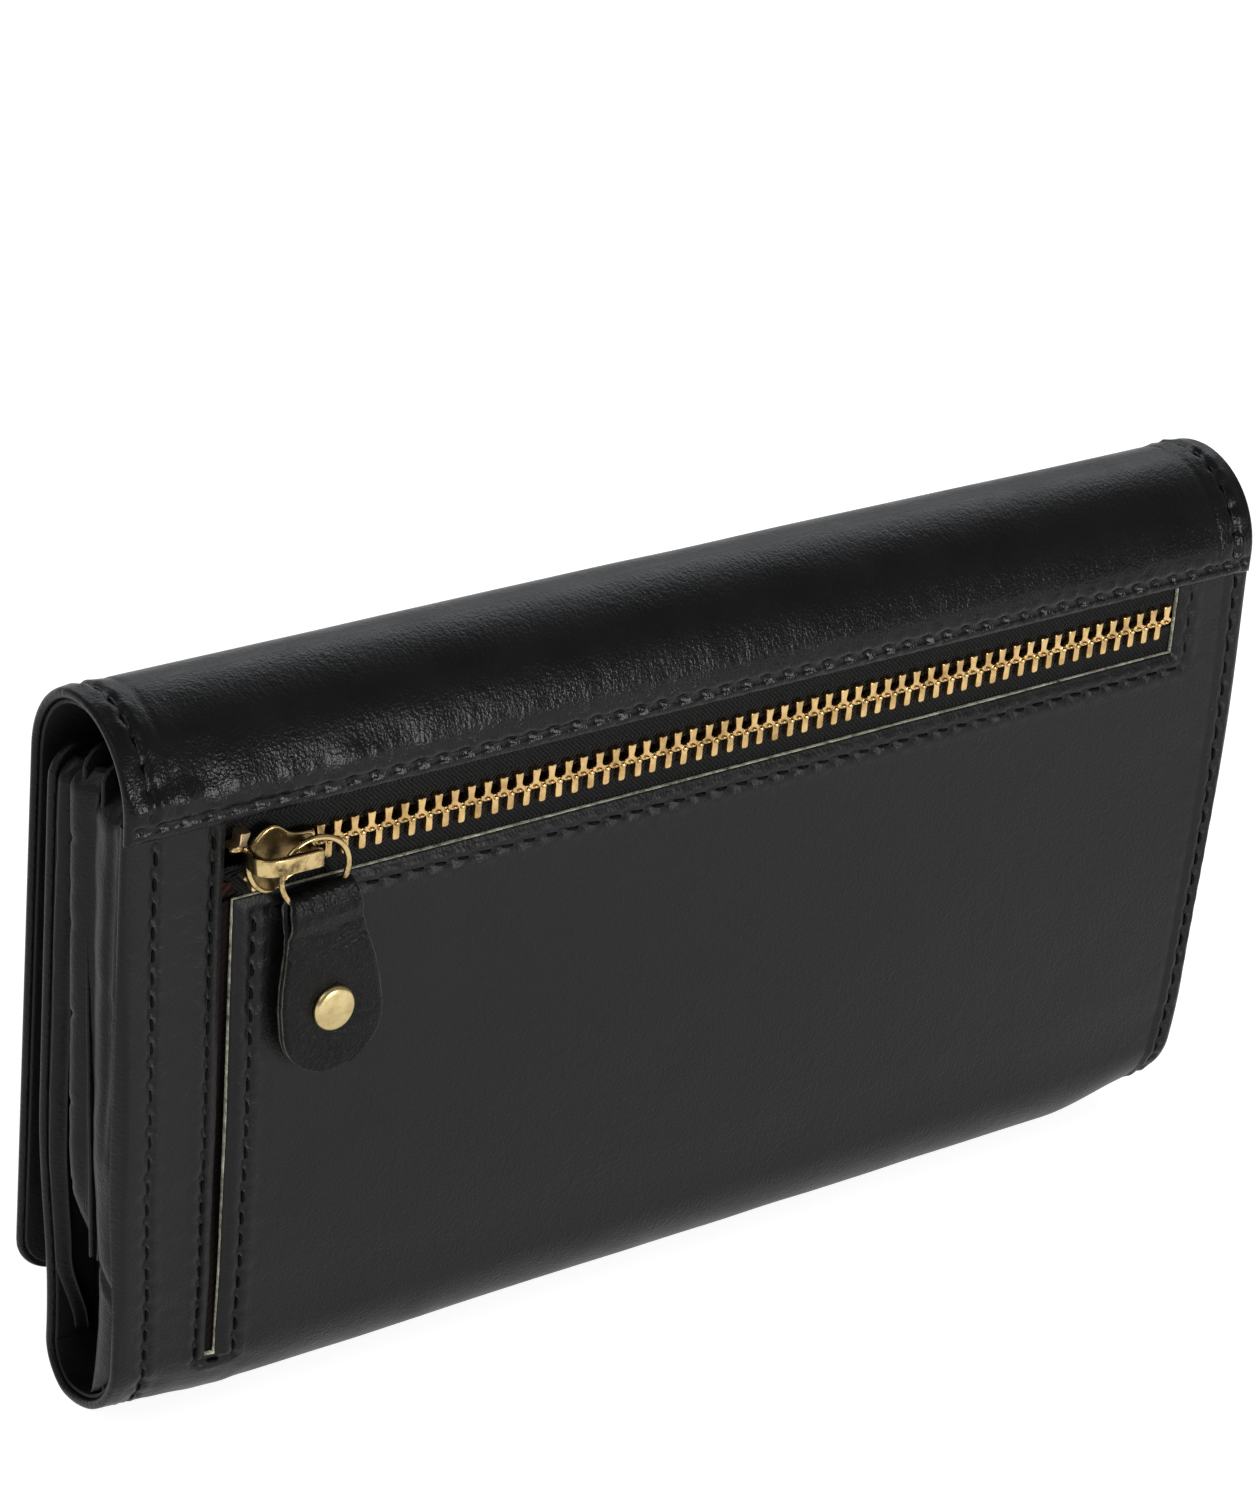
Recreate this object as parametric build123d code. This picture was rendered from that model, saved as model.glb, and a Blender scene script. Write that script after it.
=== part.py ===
from build123d import *
from math import atan2, cos, degrees, radians, sin
import os

# Long flap-over leather purse with a zipped back pocket, modelled piece by piece in millimetres.
#
# Frame: +Z up, the purse stands on its rounded bottom fold. -Y is the zipped back, +Y the front that the
# flap covers, +X is to the right when looking at the zip. Each shape is drawn with y = 0 on the outer face
# of the back leather, and put() moves it so that the origin is in the middle of the bounding box, at its
# foot. Every sub-part is one node, written to parts/NODE.step.

# Driving dimensions: the zip chain gives the scale, a #5 metal chain of 2.6 mm pitch.
WIDTH = 190.0
HEIGHT = 110.9
LEATHER = 1.4
LINING = 0.7
FLAP_LEATHER = 1.4
FLAP_FRONT_Y = 25.0
FLAP_BACK_Y = -0.8
FLAP_SEAM_Z = 95.3
FLAP_HEM_Z = 17.5
FRONT_Y = 20.4
FRONT_TOP_Z = 100.4
CHAIN_Z = 89.1
PITCH = 2.6
TEETH_PER_ROW = 57
WINDOW = (-79.6, 83.5, 82.0, 98.0)
SLIT = (-79.6, 11.3, -78.1, 83.5)
LINING_Y = 4.9
DIVIDER_FOOT_Z = 28.0
PROUD = 5.5

# Values that follow from them.
CROWN_R = (FLAP_FRONT_Y - FLAP_BACK_Y) / 2
CROWN_Y = (FLAP_FRONT_Y + FLAP_BACK_Y) / 2
CROWN_Z = HEIGHT - CROWN_R
BOTTOM_R = FRONT_Y / 2
HINGE_Z = BOTTOM_R
Y_MIDDLE = (FLAP_FRONT_Y - PROUD) / 2
BACK_INNER = LEATHER
TAPE_T = 0.4
TEETH_Y = LEATHER + TAPE_T / 2
INNER_Y = LINING_Y + LINING
FLAP_INNER = FLAP_FRONT_Y - FLAP_LEATHER
FRONT_INNER = FRONT_Y - LEATHER


def put(shape):
    """A finished shape in the frame whose origin is at the foot of the bounding box's middle."""
    return Pos(0, -Y_MIDDLE, 0) * shape


def block(x0, x1, y0, y1, z0, z1):
    """A box from its low to its high corner."""
    box = Box(x1 - x0, y1 - y0, z1 - z0)
    return Pos((x0 + x1) / 2, (y0 + y1) / 2, (z0 + z1) / 2) * box


def across(face, x0, x1):
    """A face drawn in Y and Z, made solid from x0 to x1."""
    return Pos(x0, 0, 0) * extrude(Plane.YZ * face, x1 - x0)


def through(face, y0, y1):
    """A face drawn in X and Z, made solid from y0 to y1."""
    plane = Plane(origin=(0, y0, 0), x_dir=(1, 0, 0), z_dir=(0, -1, 0))
    return extrude(plane * face, -(y1 - y0))


def arc_band(cy, cz, outer, inner, start, end):
    """A ring sector in Y and Z about (cy, cz), from start to end degrees, counted from +Y towards +Z."""
    def spot(radius, angle):
        return (cy + radius * cos(radians(angle)), cz + radius * sin(radians(angle)))

    middle = (start + end) / 2
    out = ThreePointArc(spot(outer, start), spot(outer, middle), spot(outer, end))
    side = Line(spot(outer, end), spot(inner, end))
    back = ThreePointArc(spot(inner, end), spot(inner, middle), spot(inner, start))
    close = Line(spot(inner, start), spot(outer, start))
    return make_face(Curve() + [out, side, back, close])


# Body: the back leather, which turns under as the rounded bottom, and its linings.

def back_panel():
    upright = block(-WIDTH / 2, WIDTH / 2, 0, LEATHER, HINGE_Z, WINDOW[3])
    turn = arc_band(BOTTOM_R, BOTTOM_R, BOTTOM_R, BOTTOM_R - LEATHER, 180, 360)
    panel = upright + across(turn, -WIDTH / 2, WIDTH / 2)
    window = block(WINDOW[0], WINDOW[2], -1, LEATHER + 1, WINDOW[1], WINDOW[3] + 1)
    slit = block(SLIT[0], SLIT[2], -1, LEATHER + 1, SLIT[1], SLIT[3] + 1)
    return panel - window - slit


def flap_anchor():
    """The flap's own leather where it is sewn over the top of the back, up to the fold line."""
    hem = block(-WIDTH / 2, WIDTH / 2, FLAP_BACK_Y, 0, FLAP_SEAM_Z, CROWN_Z)
    fold = arc_band(CROWN_Y, CROWN_Z, CROWN_R, CROWN_R - FLAP_LEATHER, 135, 180)
    return hem + across(fold, -WIDTH / 2, WIDTH / 2)


def back_lining():
    half = WIDTH / 2 - 2
    outer = CROWN_R - FLAP_LEATHER
    fold = across(arc_band(CROWN_Y, CROWN_Z, outer, outer - LINING, 135, 180), -half, half)
    ledge = block(-half, half, CROWN_Y - outer + 0.1, INNER_Y, CROWN_Z, CROWN_Z + LINING)
    return fold + ledge + block(-half, half, LINING_Y, INNER_Y, 6, CROWN_Z + LINING)


def bottom_lining():
    outer = BOTTOM_R - LEATHER
    band = arc_band(BOTTOM_R, BOTTOM_R, outer, outer - LINING, 200, 360)
    return across(band, -WIDTH / 2 + 2, WIDTH / 2 - 2)


def zip_pocket_bag():
    """Two cloth walls and a bottom, hung from the zip tapes."""
    front = block(-84, 86, 2.2, 2.5, 19, 84.4)
    back = block(-84, 86, 4.4, 4.7, 19, 97.6)
    return front + back + block(-84, 86, 2.2, 4.7, 18.7, 19)


def slip_pocket_lining():
    """Lining of the upright slip pocket, which the slit beside the zip opens into."""
    return block(-92, -40, LEATHER, LEATHER + 0.3, HINGE_Z + 0.1, 81.5)


# Zip: two cloth tapes, two rows of teeth, end stops.

def zip_tape(side):
    """side is 1 for the upper tape and -1 for the lower one."""
    edge = CHAIN_Z + side * 1.3
    far = CHAIN_Z + side * 7.5
    return block(-84, 86, LEATHER, LEATHER + TAPE_T, min(edge, far), max(edge, far))


def tooth(x, side):
    """One stamped tooth that grips its tape: a flat foot, a waist and a head that meshes."""
    foot_y = 1.3
    foot = [(-0.7, 2.65), (0.7, 2.65), (0.55, 1.1), (0.45, 0.5), (0.62, -0.5), (-0.62, -0.5), (-0.45, 0.5), (-0.55, 1.1)]
    outline = [(x + px, CHAIN_Z + side * pz) for px, pz in foot]
    solid = through(make_face(Polyline(*outline, close=True)), TEETH_Y - foot_y, TEETH_Y + foot_y)
    slot = block(x - 2, x + 2, TEETH_Y - TAPE_T / 2, TEETH_Y + TAPE_T / 2,
                 *sorted((CHAIN_Z + side * 1.3, CHAIN_Z + side * 4)))
    return solid - slot


def zip_teeth(side):
    first = 80.4 - (TEETH_PER_ROW - 1) * PITCH
    shift = 0 if side > 0 else PITCH / 2
    return Compound([tooth(first + i * PITCH - shift, side) for i in range(TEETH_PER_ROW)])


def zip_top_stops():
    """Two small clips, each bent round the edge of its tape just past the last tooth."""
    clips = []
    for side in (-1, 1):
        low, high = sorted((CHAIN_Z + side * 0.9, CHAIN_Z + side * 4.4))
        near, far = sorted((CHAIN_Z + side * 1.3, CHAIN_Z + side * 9))
        clip = block(-78.2, -76.9, TEETH_Y - 1, TEETH_Y + 1, low, high)
        clips.append(clip - block(-82, -76, LEATHER, LEATHER + TAPE_T, near, far))
    return Compound(clips)


def zip_bottom_stop():
    """A flat staple behind the tapes, under the right end of the window."""
    inner = LEATHER + TAPE_T
    return block(82.2, 84.2, inner, inner + 0.9, CHAIN_Z - 2.6, CHAIN_Z + 2.6)


# Slider, ring and leather pull.

SLIDER_X = -71.4
SLIDER_LENGTH = 12.0
SLIDER_HALF = 5.2
TAIL_HALF = 3.6
STRAP_OUT = -PROUD
STRAP_IN = -4.5
STRAP_HALF = 1.25
LEG_X = (-68.9, -67.6)
WING_T = 0.9
WING_OUT = 0.0
WING_IN = 3.2
STRAP_Z = 89.7
RING_X = -67.9
RING_Z = 86.3
RING_Y = -2.8
RING_R = 5.08
WIRE_R = 0.46
TAB_X = -66.9
TAB_Z = 83.6
TAB_TILT = 7.8
TAB_HINGE_Z = 79.3
TAB_FRONT_Y = -4.35
TAB_BACK_Y = -1.35
TAB_T = 0.9
TAB_TOP_HALF = 5.15
TAB_END_R = 7.7
TAB_END_V = 20.6
RIVET_V = 18.4
CREST_HALF = 2.5
CREST_T = 0.9


def wing(y0, y1):
    """One plate of the slider: broad shoulders where the open rows enter, a narrower tail."""
    half = SLIDER_LENGTH / 2
    side = [(-half, 1.2), (-4.9, 3.7), (-2.2, SLIDER_HALF), (0.8, 4.1), (half - 0.2, TAIL_HALF)]
    outline = side + [(x, -z) for x, z in reversed(side)]
    face = make_face(Polyline(*[(SLIDER_X + x, CHAIN_Z + z) for x, z in outline], close=True))
    return through(fillet(face.vertices(), 0.5), y0, y1)


def slider_body():
    """Two wings joined by the wedge that parts the teeth, with a raised strap for the ring."""
    body = wing(WING_OUT - WING_T, WING_OUT) + wing(WING_IN, WING_IN + WING_T)
    nose = SLIDER_X - 5.7
    body += block(nose + 1.2, nose + 4, WING_OUT - 0.5, WING_IN + 0.5, CHAIN_Z - 0.7, CHAIN_Z + 0.7)
    for side in (-1, 1):
        low, high = sorted((CHAIN_Z + side * (TAIL_HALF - 0.6), CHAIN_Z + side * TAIL_HALF))
        body += block(SLIDER_X, SLIDER_X + 5.2, WING_OUT - 0.5, WING_OUT + 0.9, low, high)
        body += block(SLIDER_X, SLIDER_X + 5.2, WING_IN - 0.9, WING_IN + 0.5, low, high)
    foot_low = STRAP_Z - STRAP_HALF
    body += block(nose, nose + 1.2, STRAP_IN - 0.5, WING_OUT - 0.5, foot_low, STRAP_Z + STRAP_HALF)
    body += block(*LEG_X, STRAP_IN - 0.5, WING_OUT - 0.5, foot_low, STRAP_Z + 0.5)
    body += block(nose, LEG_X[1], STRAP_OUT, STRAP_IN, foot_low, STRAP_Z + STRAP_HALF)
    return body


def pull_ring():
    torus = Torus(RING_R, WIRE_R)
    return Pos(RING_X, RING_Y, RING_Z) * Rot(90, 0, 0) * torus


def tab_point(u, v):
    """A place on the tab: u across it to the right, v down its tilted middle line from the fold."""
    tilt = radians(TAB_TILT)
    return (TAB_X + u * cos(tilt) + v * sin(tilt), TAB_Z + u * sin(tilt) - v * cos(tilt))


def tab_outline():
    """The pull's drop shape: narrow at the ring, widening to a round end."""
    spread = TAB_END_R - TAB_TOP_HALF
    lean = degrees(atan2(spread, TAB_END_V))
    side_u = TAB_END_R * cos(radians(lean))
    side_v = TAB_END_V + TAB_END_R * sin(radians(lean)) * -1
    corners = [tab_point(-TAB_TOP_HALF, 0), tab_point(TAB_TOP_HALF, 0)]
    right = Line(corners[1], tab_point(side_u, side_v))
    end = ThreePointArc(tab_point(side_u, side_v), tab_point(0, TAB_END_V + TAB_END_R), tab_point(-side_u, side_v))
    left = Line(tab_point(-side_u, side_v), corners[0])
    return make_face(Curve() + [Line(corners[0], corners[1]), right, end, left])


def tab_leaves():
    front = through(tab_outline(), TAB_FRONT_Y, TAB_FRONT_Y + TAB_T)
    back = through(tab_outline(), TAB_BACK_Y - TAB_T, TAB_BACK_Y)
    return front, back


def pull_tab_loop():
    """The leather's fold through the ring, as far down as the line where the pull bends."""
    keep = block(-90, -50, -10, 0, TAB_HINGE_Z, TAB_Z)
    front, back = tab_leaves()
    crest = block(RING_X - CREST_HALF, RING_X + CREST_HALF, TAB_FRONT_Y, TAB_BACK_Y, TAB_Z - CREST_T, TAB_Z)
    return (front & keep) + (back & keep) + crest


def pull_tab():
    """Both leaves below the bend, with a thin spacer of leather between them round the rivet."""
    keep = block(-90, -45, -10, 0, 40, TAB_HINGE_Z)
    front, back = tab_leaves()
    x, z = tab_point(0, RIVET_V)
    spacer = Pos(x, (TAB_FRONT_Y + TAB_BACK_Y) / 2, z) * Rot(90, 0, 0) * Cylinder(5.5, TAB_BACK_Y - TAB_FRONT_Y - 2 * TAB_T)
    bore = Pos(x, -3, z) * Rot(90, 0, 0) * Cylinder(1.2, 10)
    return (front & keep) + (back & keep) + spacer - bore


def rivet_cap():
    x, z = tab_point(0, RIVET_V)
    ball_r = 7.0
    rise = 0.95
    ball = Pos(x, TAB_FRONT_Y - rise + ball_r, z) * Sphere(ball_r)
    slab = block(x - 5, x + 5, TAB_FRONT_Y - rise, TAB_FRONT_Y, z - 5, z + 5)
    return ball & slab


def rivet_post():
    x, z = tab_point(0, RIVET_V)
    length = TAB_BACK_Y - TAB_FRONT_Y
    post = Pos(x, (TAB_FRONT_Y + TAB_BACK_Y) / 2, z) * Rot(90, 0, 0) * Cylinder(1.2, length)
    foot = Pos(x, TAB_BACK_Y + 0.4, z) * Rot(90, 0, 0) * Cylinder(3.0, 0.8)
    return post + foot


# Flap: a crown that bridges the top, and a front leaf. One continuous leather in the real purse.

MAGNET_R = 7.0
MAGNET_T = 0.8
MAGNET_Z = 36.0


def disc(radius, y0, y1, z):
    return Pos(0, (y0 + y1) / 2, z) * Rot(90, 0, 0) * Cylinder(radius, y1 - y0)


def crown_leather():
    band = arc_band(CROWN_Y, CROWN_Z, CROWN_R, CROWN_R - FLAP_LEATHER, 45, 135)
    return across(band, -WIDTH / 2, WIDTH / 2)


def crown_lining():
    outer = CROWN_R - FLAP_LEATHER
    band = arc_band(CROWN_Y, CROWN_Z, outer, outer - LINING, 45, 135)
    return across(band, -WIDTH / 2 + 2, WIDTH / 2 - 2)


def flap_leather():
    fold = across(arc_band(CROWN_Y, CROWN_Z, CROWN_R, CROWN_R - FLAP_LEATHER, 0, 45), -WIDTH / 2, WIDTH / 2)
    leaf = block(-WIDTH / 2, WIDTH / 2, FLAP_INNER, FLAP_FRONT_Y, FLAP_HEM_Z, CROWN_Z)
    corners = leaf.edges().filter_by(Axis.Y).group_by(Axis.Z)[0]
    leaf = fillet(corners, 6)
    return fold + leaf - disc(MAGNET_R, FLAP_INNER - 1, FLAP_INNER + MAGNET_T, MAGNET_Z)


def flap_lining():
    outer = CROWN_R - FLAP_LEATHER
    half = WIDTH / 2 - 2
    fold = across(arc_band(CROWN_Y, CROWN_Z, outer, outer - LINING, 0, 45), -half, half)
    leaf = block(-half, half, FLAP_INNER - LINING, FLAP_INNER, FLAP_HEM_Z + 2, CROWN_Z)
    leaf = fillet(leaf.edges().filter_by(Axis.Y).group_by(Axis.Z)[0], 4)
    return fold + leaf


def flap_magnet():
    return disc(MAGNET_R, FLAP_INNER, FLAP_INNER + MAGNET_T, MAGNET_Z)


# Front panel, hinged where the bottom turns up.

def front_leather():
    panel = block(-WIDTH / 2, WIDTH / 2, FRONT_INNER, FRONT_Y, HINGE_Z, FRONT_TOP_Z)
    panel = fillet(panel.edges().filter_by(Axis.Y).group_by(Axis.Z)[-1], 5)
    return panel - disc(MAGNET_R, FRONT_INNER - 1, FRONT_INNER + MAGNET_T, MAGNET_Z)


def front_lining():
    half = WIDTH / 2 - 2
    return block(-half, half, FRONT_INNER - LINING, FRONT_INNER, HINGE_Z, FRONT_TOP_Z - 2)


def clasp_plate():
    return disc(MAGNET_R, FRONT_INNER, FRONT_INNER + MAGNET_T, MAGNET_Z)


# Inside: a card panel with three rows of pockets, a note divider, and folded gussets at both ends.

CARD_FOOT_Y = 7.4
CARD_SLANT = 4.6
CARD_LENGTH = 75.0
NOTE_FOOT_Y = 6.2
NOTE_SLANT = 2.2
DIVIDER_T = 0.8
POCKET_T = 0.5
POCKET_TOPS = (38.5, 51.0, 65.0)


def leaning(shape, foot_y, slant):
    """A shape drawn upright on its foot line, leant towards +Y."""
    return Pos(0, foot_y, DIVIDER_FOOT_Z) * Rot(-slant, 0, 0) * shape


def card_panel():
    return leaning(block(-93, 93, 0, DIVIDER_T, 0, CARD_LENGTH), CARD_FOOT_Y, CARD_SLANT)


def card_pocket(row):
    """Pocket strip row 0, 1 or 2, from the front and lowest to the back and highest."""
    back = DIVIDER_T + (2 - row) * POCKET_T
    strip = block(-92, 92, back, back + POCKET_T, 6, POCKET_TOPS[row])
    seam = block(-0.6, 0.6, back + POCKET_T - 0.2, back + POCKET_T + 1, 5, POCKET_TOPS[row] + 1)
    return leaning(strip - seam, CARD_FOOT_Y, CARD_SLANT)


def note_divider():
    return leaning(block(-93, 93, 0, DIVIDER_T, 0, CARD_LENGTH - 1), NOTE_FOOT_Y, NOTE_SLANT)


def lean_y(foot_y, slant, z):
    """Where a leaning sheet's back face is at height z."""
    return foot_y + (z - DIVIDER_FOOT_Z) * sin(radians(slant)) / cos(radians(slant))


def gusset(side, rear):
    """One folded end wall, from the lining to the note divider, or from that to the card panel."""
    gap = 0.15
    faces = []
    for z in (31.0, 97.0):
        note = lean_y(NOTE_FOOT_Y, NOTE_SLANT, z)
        if rear:
            low = INNER_Y
            high = note - gap
        else:
            low = note + DIVIDER_T / cos(radians(NOTE_SLANT)) + gap
            high = lean_y(CARD_FOOT_Y, CARD_SLANT, z) - gap
        middle = (low + high) / 2
        chain = [(93, low), (83, middle), (93, high), (90, high), (80, middle), (90, low)]
        outline = Polyline(*[(side * x, y) for x, y in chain], close=True)
        faces.append(Pos(0, 0, z) * make_face(outline))
    return loft(faces, ruled=True)


NODES = {
    "back_panel": back_panel,
    "flap_anchor": flap_anchor,
    "back_lining": back_lining,
    "bottom_lining": bottom_lining,
    "zip_pocket_bag": zip_pocket_bag,
    "slip_pocket_lining": slip_pocket_lining,
    "zip_tape_upper": lambda: zip_tape(1),
    "zip_tape_lower": lambda: zip_tape(-1),
    "zip_teeth_upper": lambda: zip_teeth(1),
    "zip_teeth_lower": lambda: zip_teeth(-1),
    "zip_top_stops": zip_top_stops,
    "zip_bottom_stop": zip_bottom_stop,
    "gusset_rear_left": lambda: gusset(-1, True),
    "gusset_rear_right": lambda: gusset(1, True),
    "gusset_front_left": lambda: gusset(-1, False),
    "gusset_front_right": lambda: gusset(1, False),
    "crown_leather": crown_leather,
    "crown_lining": crown_lining,
    "flap_leather": flap_leather,
    "flap_lining": flap_lining,
    "flap_magnet": flap_magnet,
    "front_leather": front_leather,
    "front_lining": front_lining,
    "clasp_plate": clasp_plate,
    "card_panel": card_panel,
    "card_pocket_1": lambda: card_pocket(0),
    "card_pocket_2": lambda: card_pocket(1),
    "card_pocket_3": lambda: card_pocket(2),
    "note_divider": note_divider,
    "slider_body": slider_body,
    "pull_ring": pull_ring,
    "pull_tab_loop": pull_tab_loop,
    "pull_tab": pull_tab,
    "rivet_cap": rivet_cap,
    "rivet_post": rivet_post,
}


def main():
    os.makedirs("parts", exist_ok=True)
    for name, make in NODES.items():
        export_step(put(make()), f"parts/{name}.step")


main()
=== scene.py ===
import math

import bmesh
import bpy
import numpy as np
from mathutils import Matrix, Vector


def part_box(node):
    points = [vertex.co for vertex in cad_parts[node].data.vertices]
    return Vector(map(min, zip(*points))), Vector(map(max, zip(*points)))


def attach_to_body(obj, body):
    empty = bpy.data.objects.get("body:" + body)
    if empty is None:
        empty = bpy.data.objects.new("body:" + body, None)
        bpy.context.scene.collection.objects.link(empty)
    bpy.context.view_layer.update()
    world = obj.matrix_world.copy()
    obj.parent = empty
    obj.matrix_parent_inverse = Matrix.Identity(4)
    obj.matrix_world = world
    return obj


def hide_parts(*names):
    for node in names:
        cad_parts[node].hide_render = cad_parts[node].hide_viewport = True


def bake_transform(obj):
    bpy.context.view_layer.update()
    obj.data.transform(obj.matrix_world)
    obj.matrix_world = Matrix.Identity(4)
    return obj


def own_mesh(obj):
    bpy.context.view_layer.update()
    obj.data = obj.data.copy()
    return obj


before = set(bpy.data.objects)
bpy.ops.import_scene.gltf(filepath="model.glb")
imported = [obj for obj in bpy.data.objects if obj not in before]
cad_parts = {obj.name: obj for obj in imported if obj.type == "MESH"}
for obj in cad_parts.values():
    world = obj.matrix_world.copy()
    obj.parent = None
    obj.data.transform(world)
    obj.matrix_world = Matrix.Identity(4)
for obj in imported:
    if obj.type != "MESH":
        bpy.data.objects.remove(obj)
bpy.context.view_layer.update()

# Shapes are worked out in millimetres with y = 0 on the outer face of the back leather, and written in
# metres in the frame of the CAD model. Leather is drawn flat, as x across, s along its path and h under
# its outer face, and then laid on the path: that bends the stitches and creases with it.
MM = 0.001
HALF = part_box("back_panel")[1][0] / MM
BACK_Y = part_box("back_panel")[0][1] / MM
FRONT_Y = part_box("front_leather")[1][1] / MM - BACK_Y
FRONT_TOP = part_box("front_leather")[1][2] / MM
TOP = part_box("crown_leather")[1][2] / MM
SEAM_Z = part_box("flap_anchor")[0][2] / MM
HEM_DROP = 2.5        # the drawn flap hangs this much lower than the CAD one
HEM_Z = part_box("flap_leather")[0][2] / MM - HEM_DROP
FLAP_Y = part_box("flap_leather")[1][1] / MM - BACK_Y
SEAM_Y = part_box("flap_anchor")[0][1] / MM - BACK_Y
CROWN_R = (FLAP_Y - SEAM_Y) / 2
CROWN_Y = (FLAP_Y + SEAM_Y) / 2
CROWN_Z = TOP - CROWN_R
BACK_R = 13.3
FRONT_R = FRONT_Y - BACK_R
LEATHER = 1.4
LINING = 0.7
CHAIN_Z = 89.1
CHAIN_SLOPE = 0.0077
LEVEL_X = 21          # where the sloping chain has the CAD chain's height
PITCH = 2.6
TEETH = 57
LAST_TOOTH = 80.4
TEETH_Y = 1.6
WINDOW = (-79.6, 83.6, 82.0, 98.0)      # x, z of the low corner and of the high one
SLIT = (-79.7, 11.3, -78.0, 83.6)
STITCH = 3.5


def metres(points):
    """Points in drawing millimetres as metres in the frame."""
    p = np.asarray(points, float).reshape(-1, 3).copy()
    p[:, 1] += BACK_Y
    return p * MM


def spot(x, y, z):
    """One drawing point in metres, as a tuple."""
    return tuple(metres([(x, y, z)])[0])


def chain_rise(x):
    return CHAIN_SLOPE * (x - LEVEL_X)


def chain_z(x):
    """Height of the zip's middle line, which rises a little to the right."""
    return CHAIN_Z + chain_rise(x)


def attach(obj, bodies, slot, *nodes):
    """obj rides on a body, or, given two bodies with the start and end of a bend, is only baked in place; it
    stands for nodes, which are hidden.
    """
    if isinstance(bodies, str):
        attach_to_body(obj, bodies)
    else:
        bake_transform(obj)
    if nodes:
        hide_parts(*nodes)


# Materials

class Look:
    """A new material, with short ways to add nodes and join them."""

    def __init__(self, name, coordinates="UV"):
        self.material = bpy.data.materials.new(name)
        self.material.use_nodes = True
        self.tree = self.material.node_tree
        self.where = self.add("TexCoord").outputs[coordinates]

    def add(self, kind, inputs=None, **settings):
        """A node. An input is a number, a colour or another node's output, by its name or place."""
        node = self.tree.nodes.new("ShaderNode" + kind)
        for key, value in settings.items():
            setattr(node, key, value)
        self.put(node, inputs or {})
        return node

    def put(self, node, inputs):
        for key, value in inputs.items():
            if isinstance(value, bpy.types.NodeSocket):
                self.tree.links.new(value, node.inputs[key])
            else:
                node.inputs[key].default_value = value

    def done(self, inputs):
        """The finished material, once its shader has these inputs."""
        self.put(self.tree.nodes["Principled BSDF"], inputs)
        return self.material

    def bump(self, height, strength, distance, normal=None):
        inputs = {"Strength": strength, "Distance": distance, "Height": height}
        if normal:
            inputs["Normal"] = normal
        return self.add("Bump", inputs).outputs["Normal"]

    def noise(self, scale, detail=3.0, rough=0.55, where=None):
        inputs = {"Scale": scale, "Detail": detail, "Roughness": rough, "Vector": where or self.where}
        return self.add("TexNoise", inputs).outputs["Fac"]

    def ramp(self, fac, stops):
        """A colour that runs through (place, colour) stops."""
        node = self.add("ValToRGB", {"Fac": fac})
        elements = node.color_ramp.elements
        while len(elements) < len(stops):
            elements.new(0.5)
        for element, (place, colour) in zip(elements, stops):
            element.position = place
            element.color = (*colour, 1.0)
        return node.outputs["Color"]

    def between(self, noise, low, high):
        """From low to high as the middle part of a noise rises."""
        inputs = {"Value": noise, "From Min": 0.3, "From Max": 0.7, "To Min": low, "To Max": high}
        return self.add("MapRange", inputs).outputs["Result"]


def leather_material(name, dark, light, rough_low, rough_high, grain=1.0, specular=0.187,
                     shine_below=0.0, specks=0.0, wrinkle=0.0):
    """Grained black leather: pebbles, pores and creases in the bump, cloudy colour and gloss."""
    look = Look(name)
    swirl = look.add("TexNoise", {"Scale": 900.0, "Vector": look.where}).outputs["Color"]
    warp = look.add("VectorMath", {0: swirl, 1: (0.0007, 0.0007, 0.0007), 2: look.where},
                    operation="MULTIPLY_ADD").outputs["Vector"]
    cells = look.add("TexVoronoi", {"Scale": 2300.0, "Smoothness": 0.5, "Vector": warp},
                     feature="SMOOTH_F1").outputs["Distance"]
    broad = look.noise(95.0, 5.0, 0.6)
    normal = look.bump(look.noise(420.0, 6.0, 0.62), 0.17 * grain, 0.0006)
    if wrinkle:
        drawn = look.add("VectorMath", {0: look.where, 1: (1.0, 0.36, 1.0)}, operation="MULTIPLY")
        lines = look.noise(1500.0, 4.0, 0.6, drawn.outputs["Vector"])
        normal = look.bump(lines, wrinkle, 0.0003, normal)
    normal = look.bump(cells, 0.38 * grain, 0.00016, normal)
    normal = look.bump(look.noise(3200.0, 4.0), 0.22 * grain, 0.0001, normal)
    colour = look.ramp(broad, [(0.3, dark), (0.75, light)])
    if specks:
        mask = look.ramp(look.noise(1300.0, 5.0, 0.7), [(0.60, (0, 0, 0)), (0.72, (specks, specks, specks))])
        colour = look.add("Mix", {0: 1.0, 6: colour, 7: mask}, data_type="RGBA",
                          blend_type="ADD").outputs[2]
    rough = look.between(broad, rough_low, rough_high)
    if shine_below:
        rough = shinier_low(look, rough, shine_below)
    return look.done({"Normal": normal, "Base Color": colour, "Roughness": rough,
                      "Specular IOR Level": specular})


def shinier_low(look, rough, reach):
    """Roughness that drops near the sewn edge, where stretched leather shines."""
    along = look.add("SeparateXYZ", {"Vector": look.where}).outputs["Y"]
    band = look.add("MapRange", {"Value": along, "From Min": reach * 0.4, "From Max": reach,
                                 "To Min": 0.62, "To Max": 1.0}, interpolation_type="SMOOTHSTEP")
    return look.add("Math", {0: rough, 1: band.outputs["Result"]}, operation="MULTIPLY").outputs["Value"]


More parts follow.
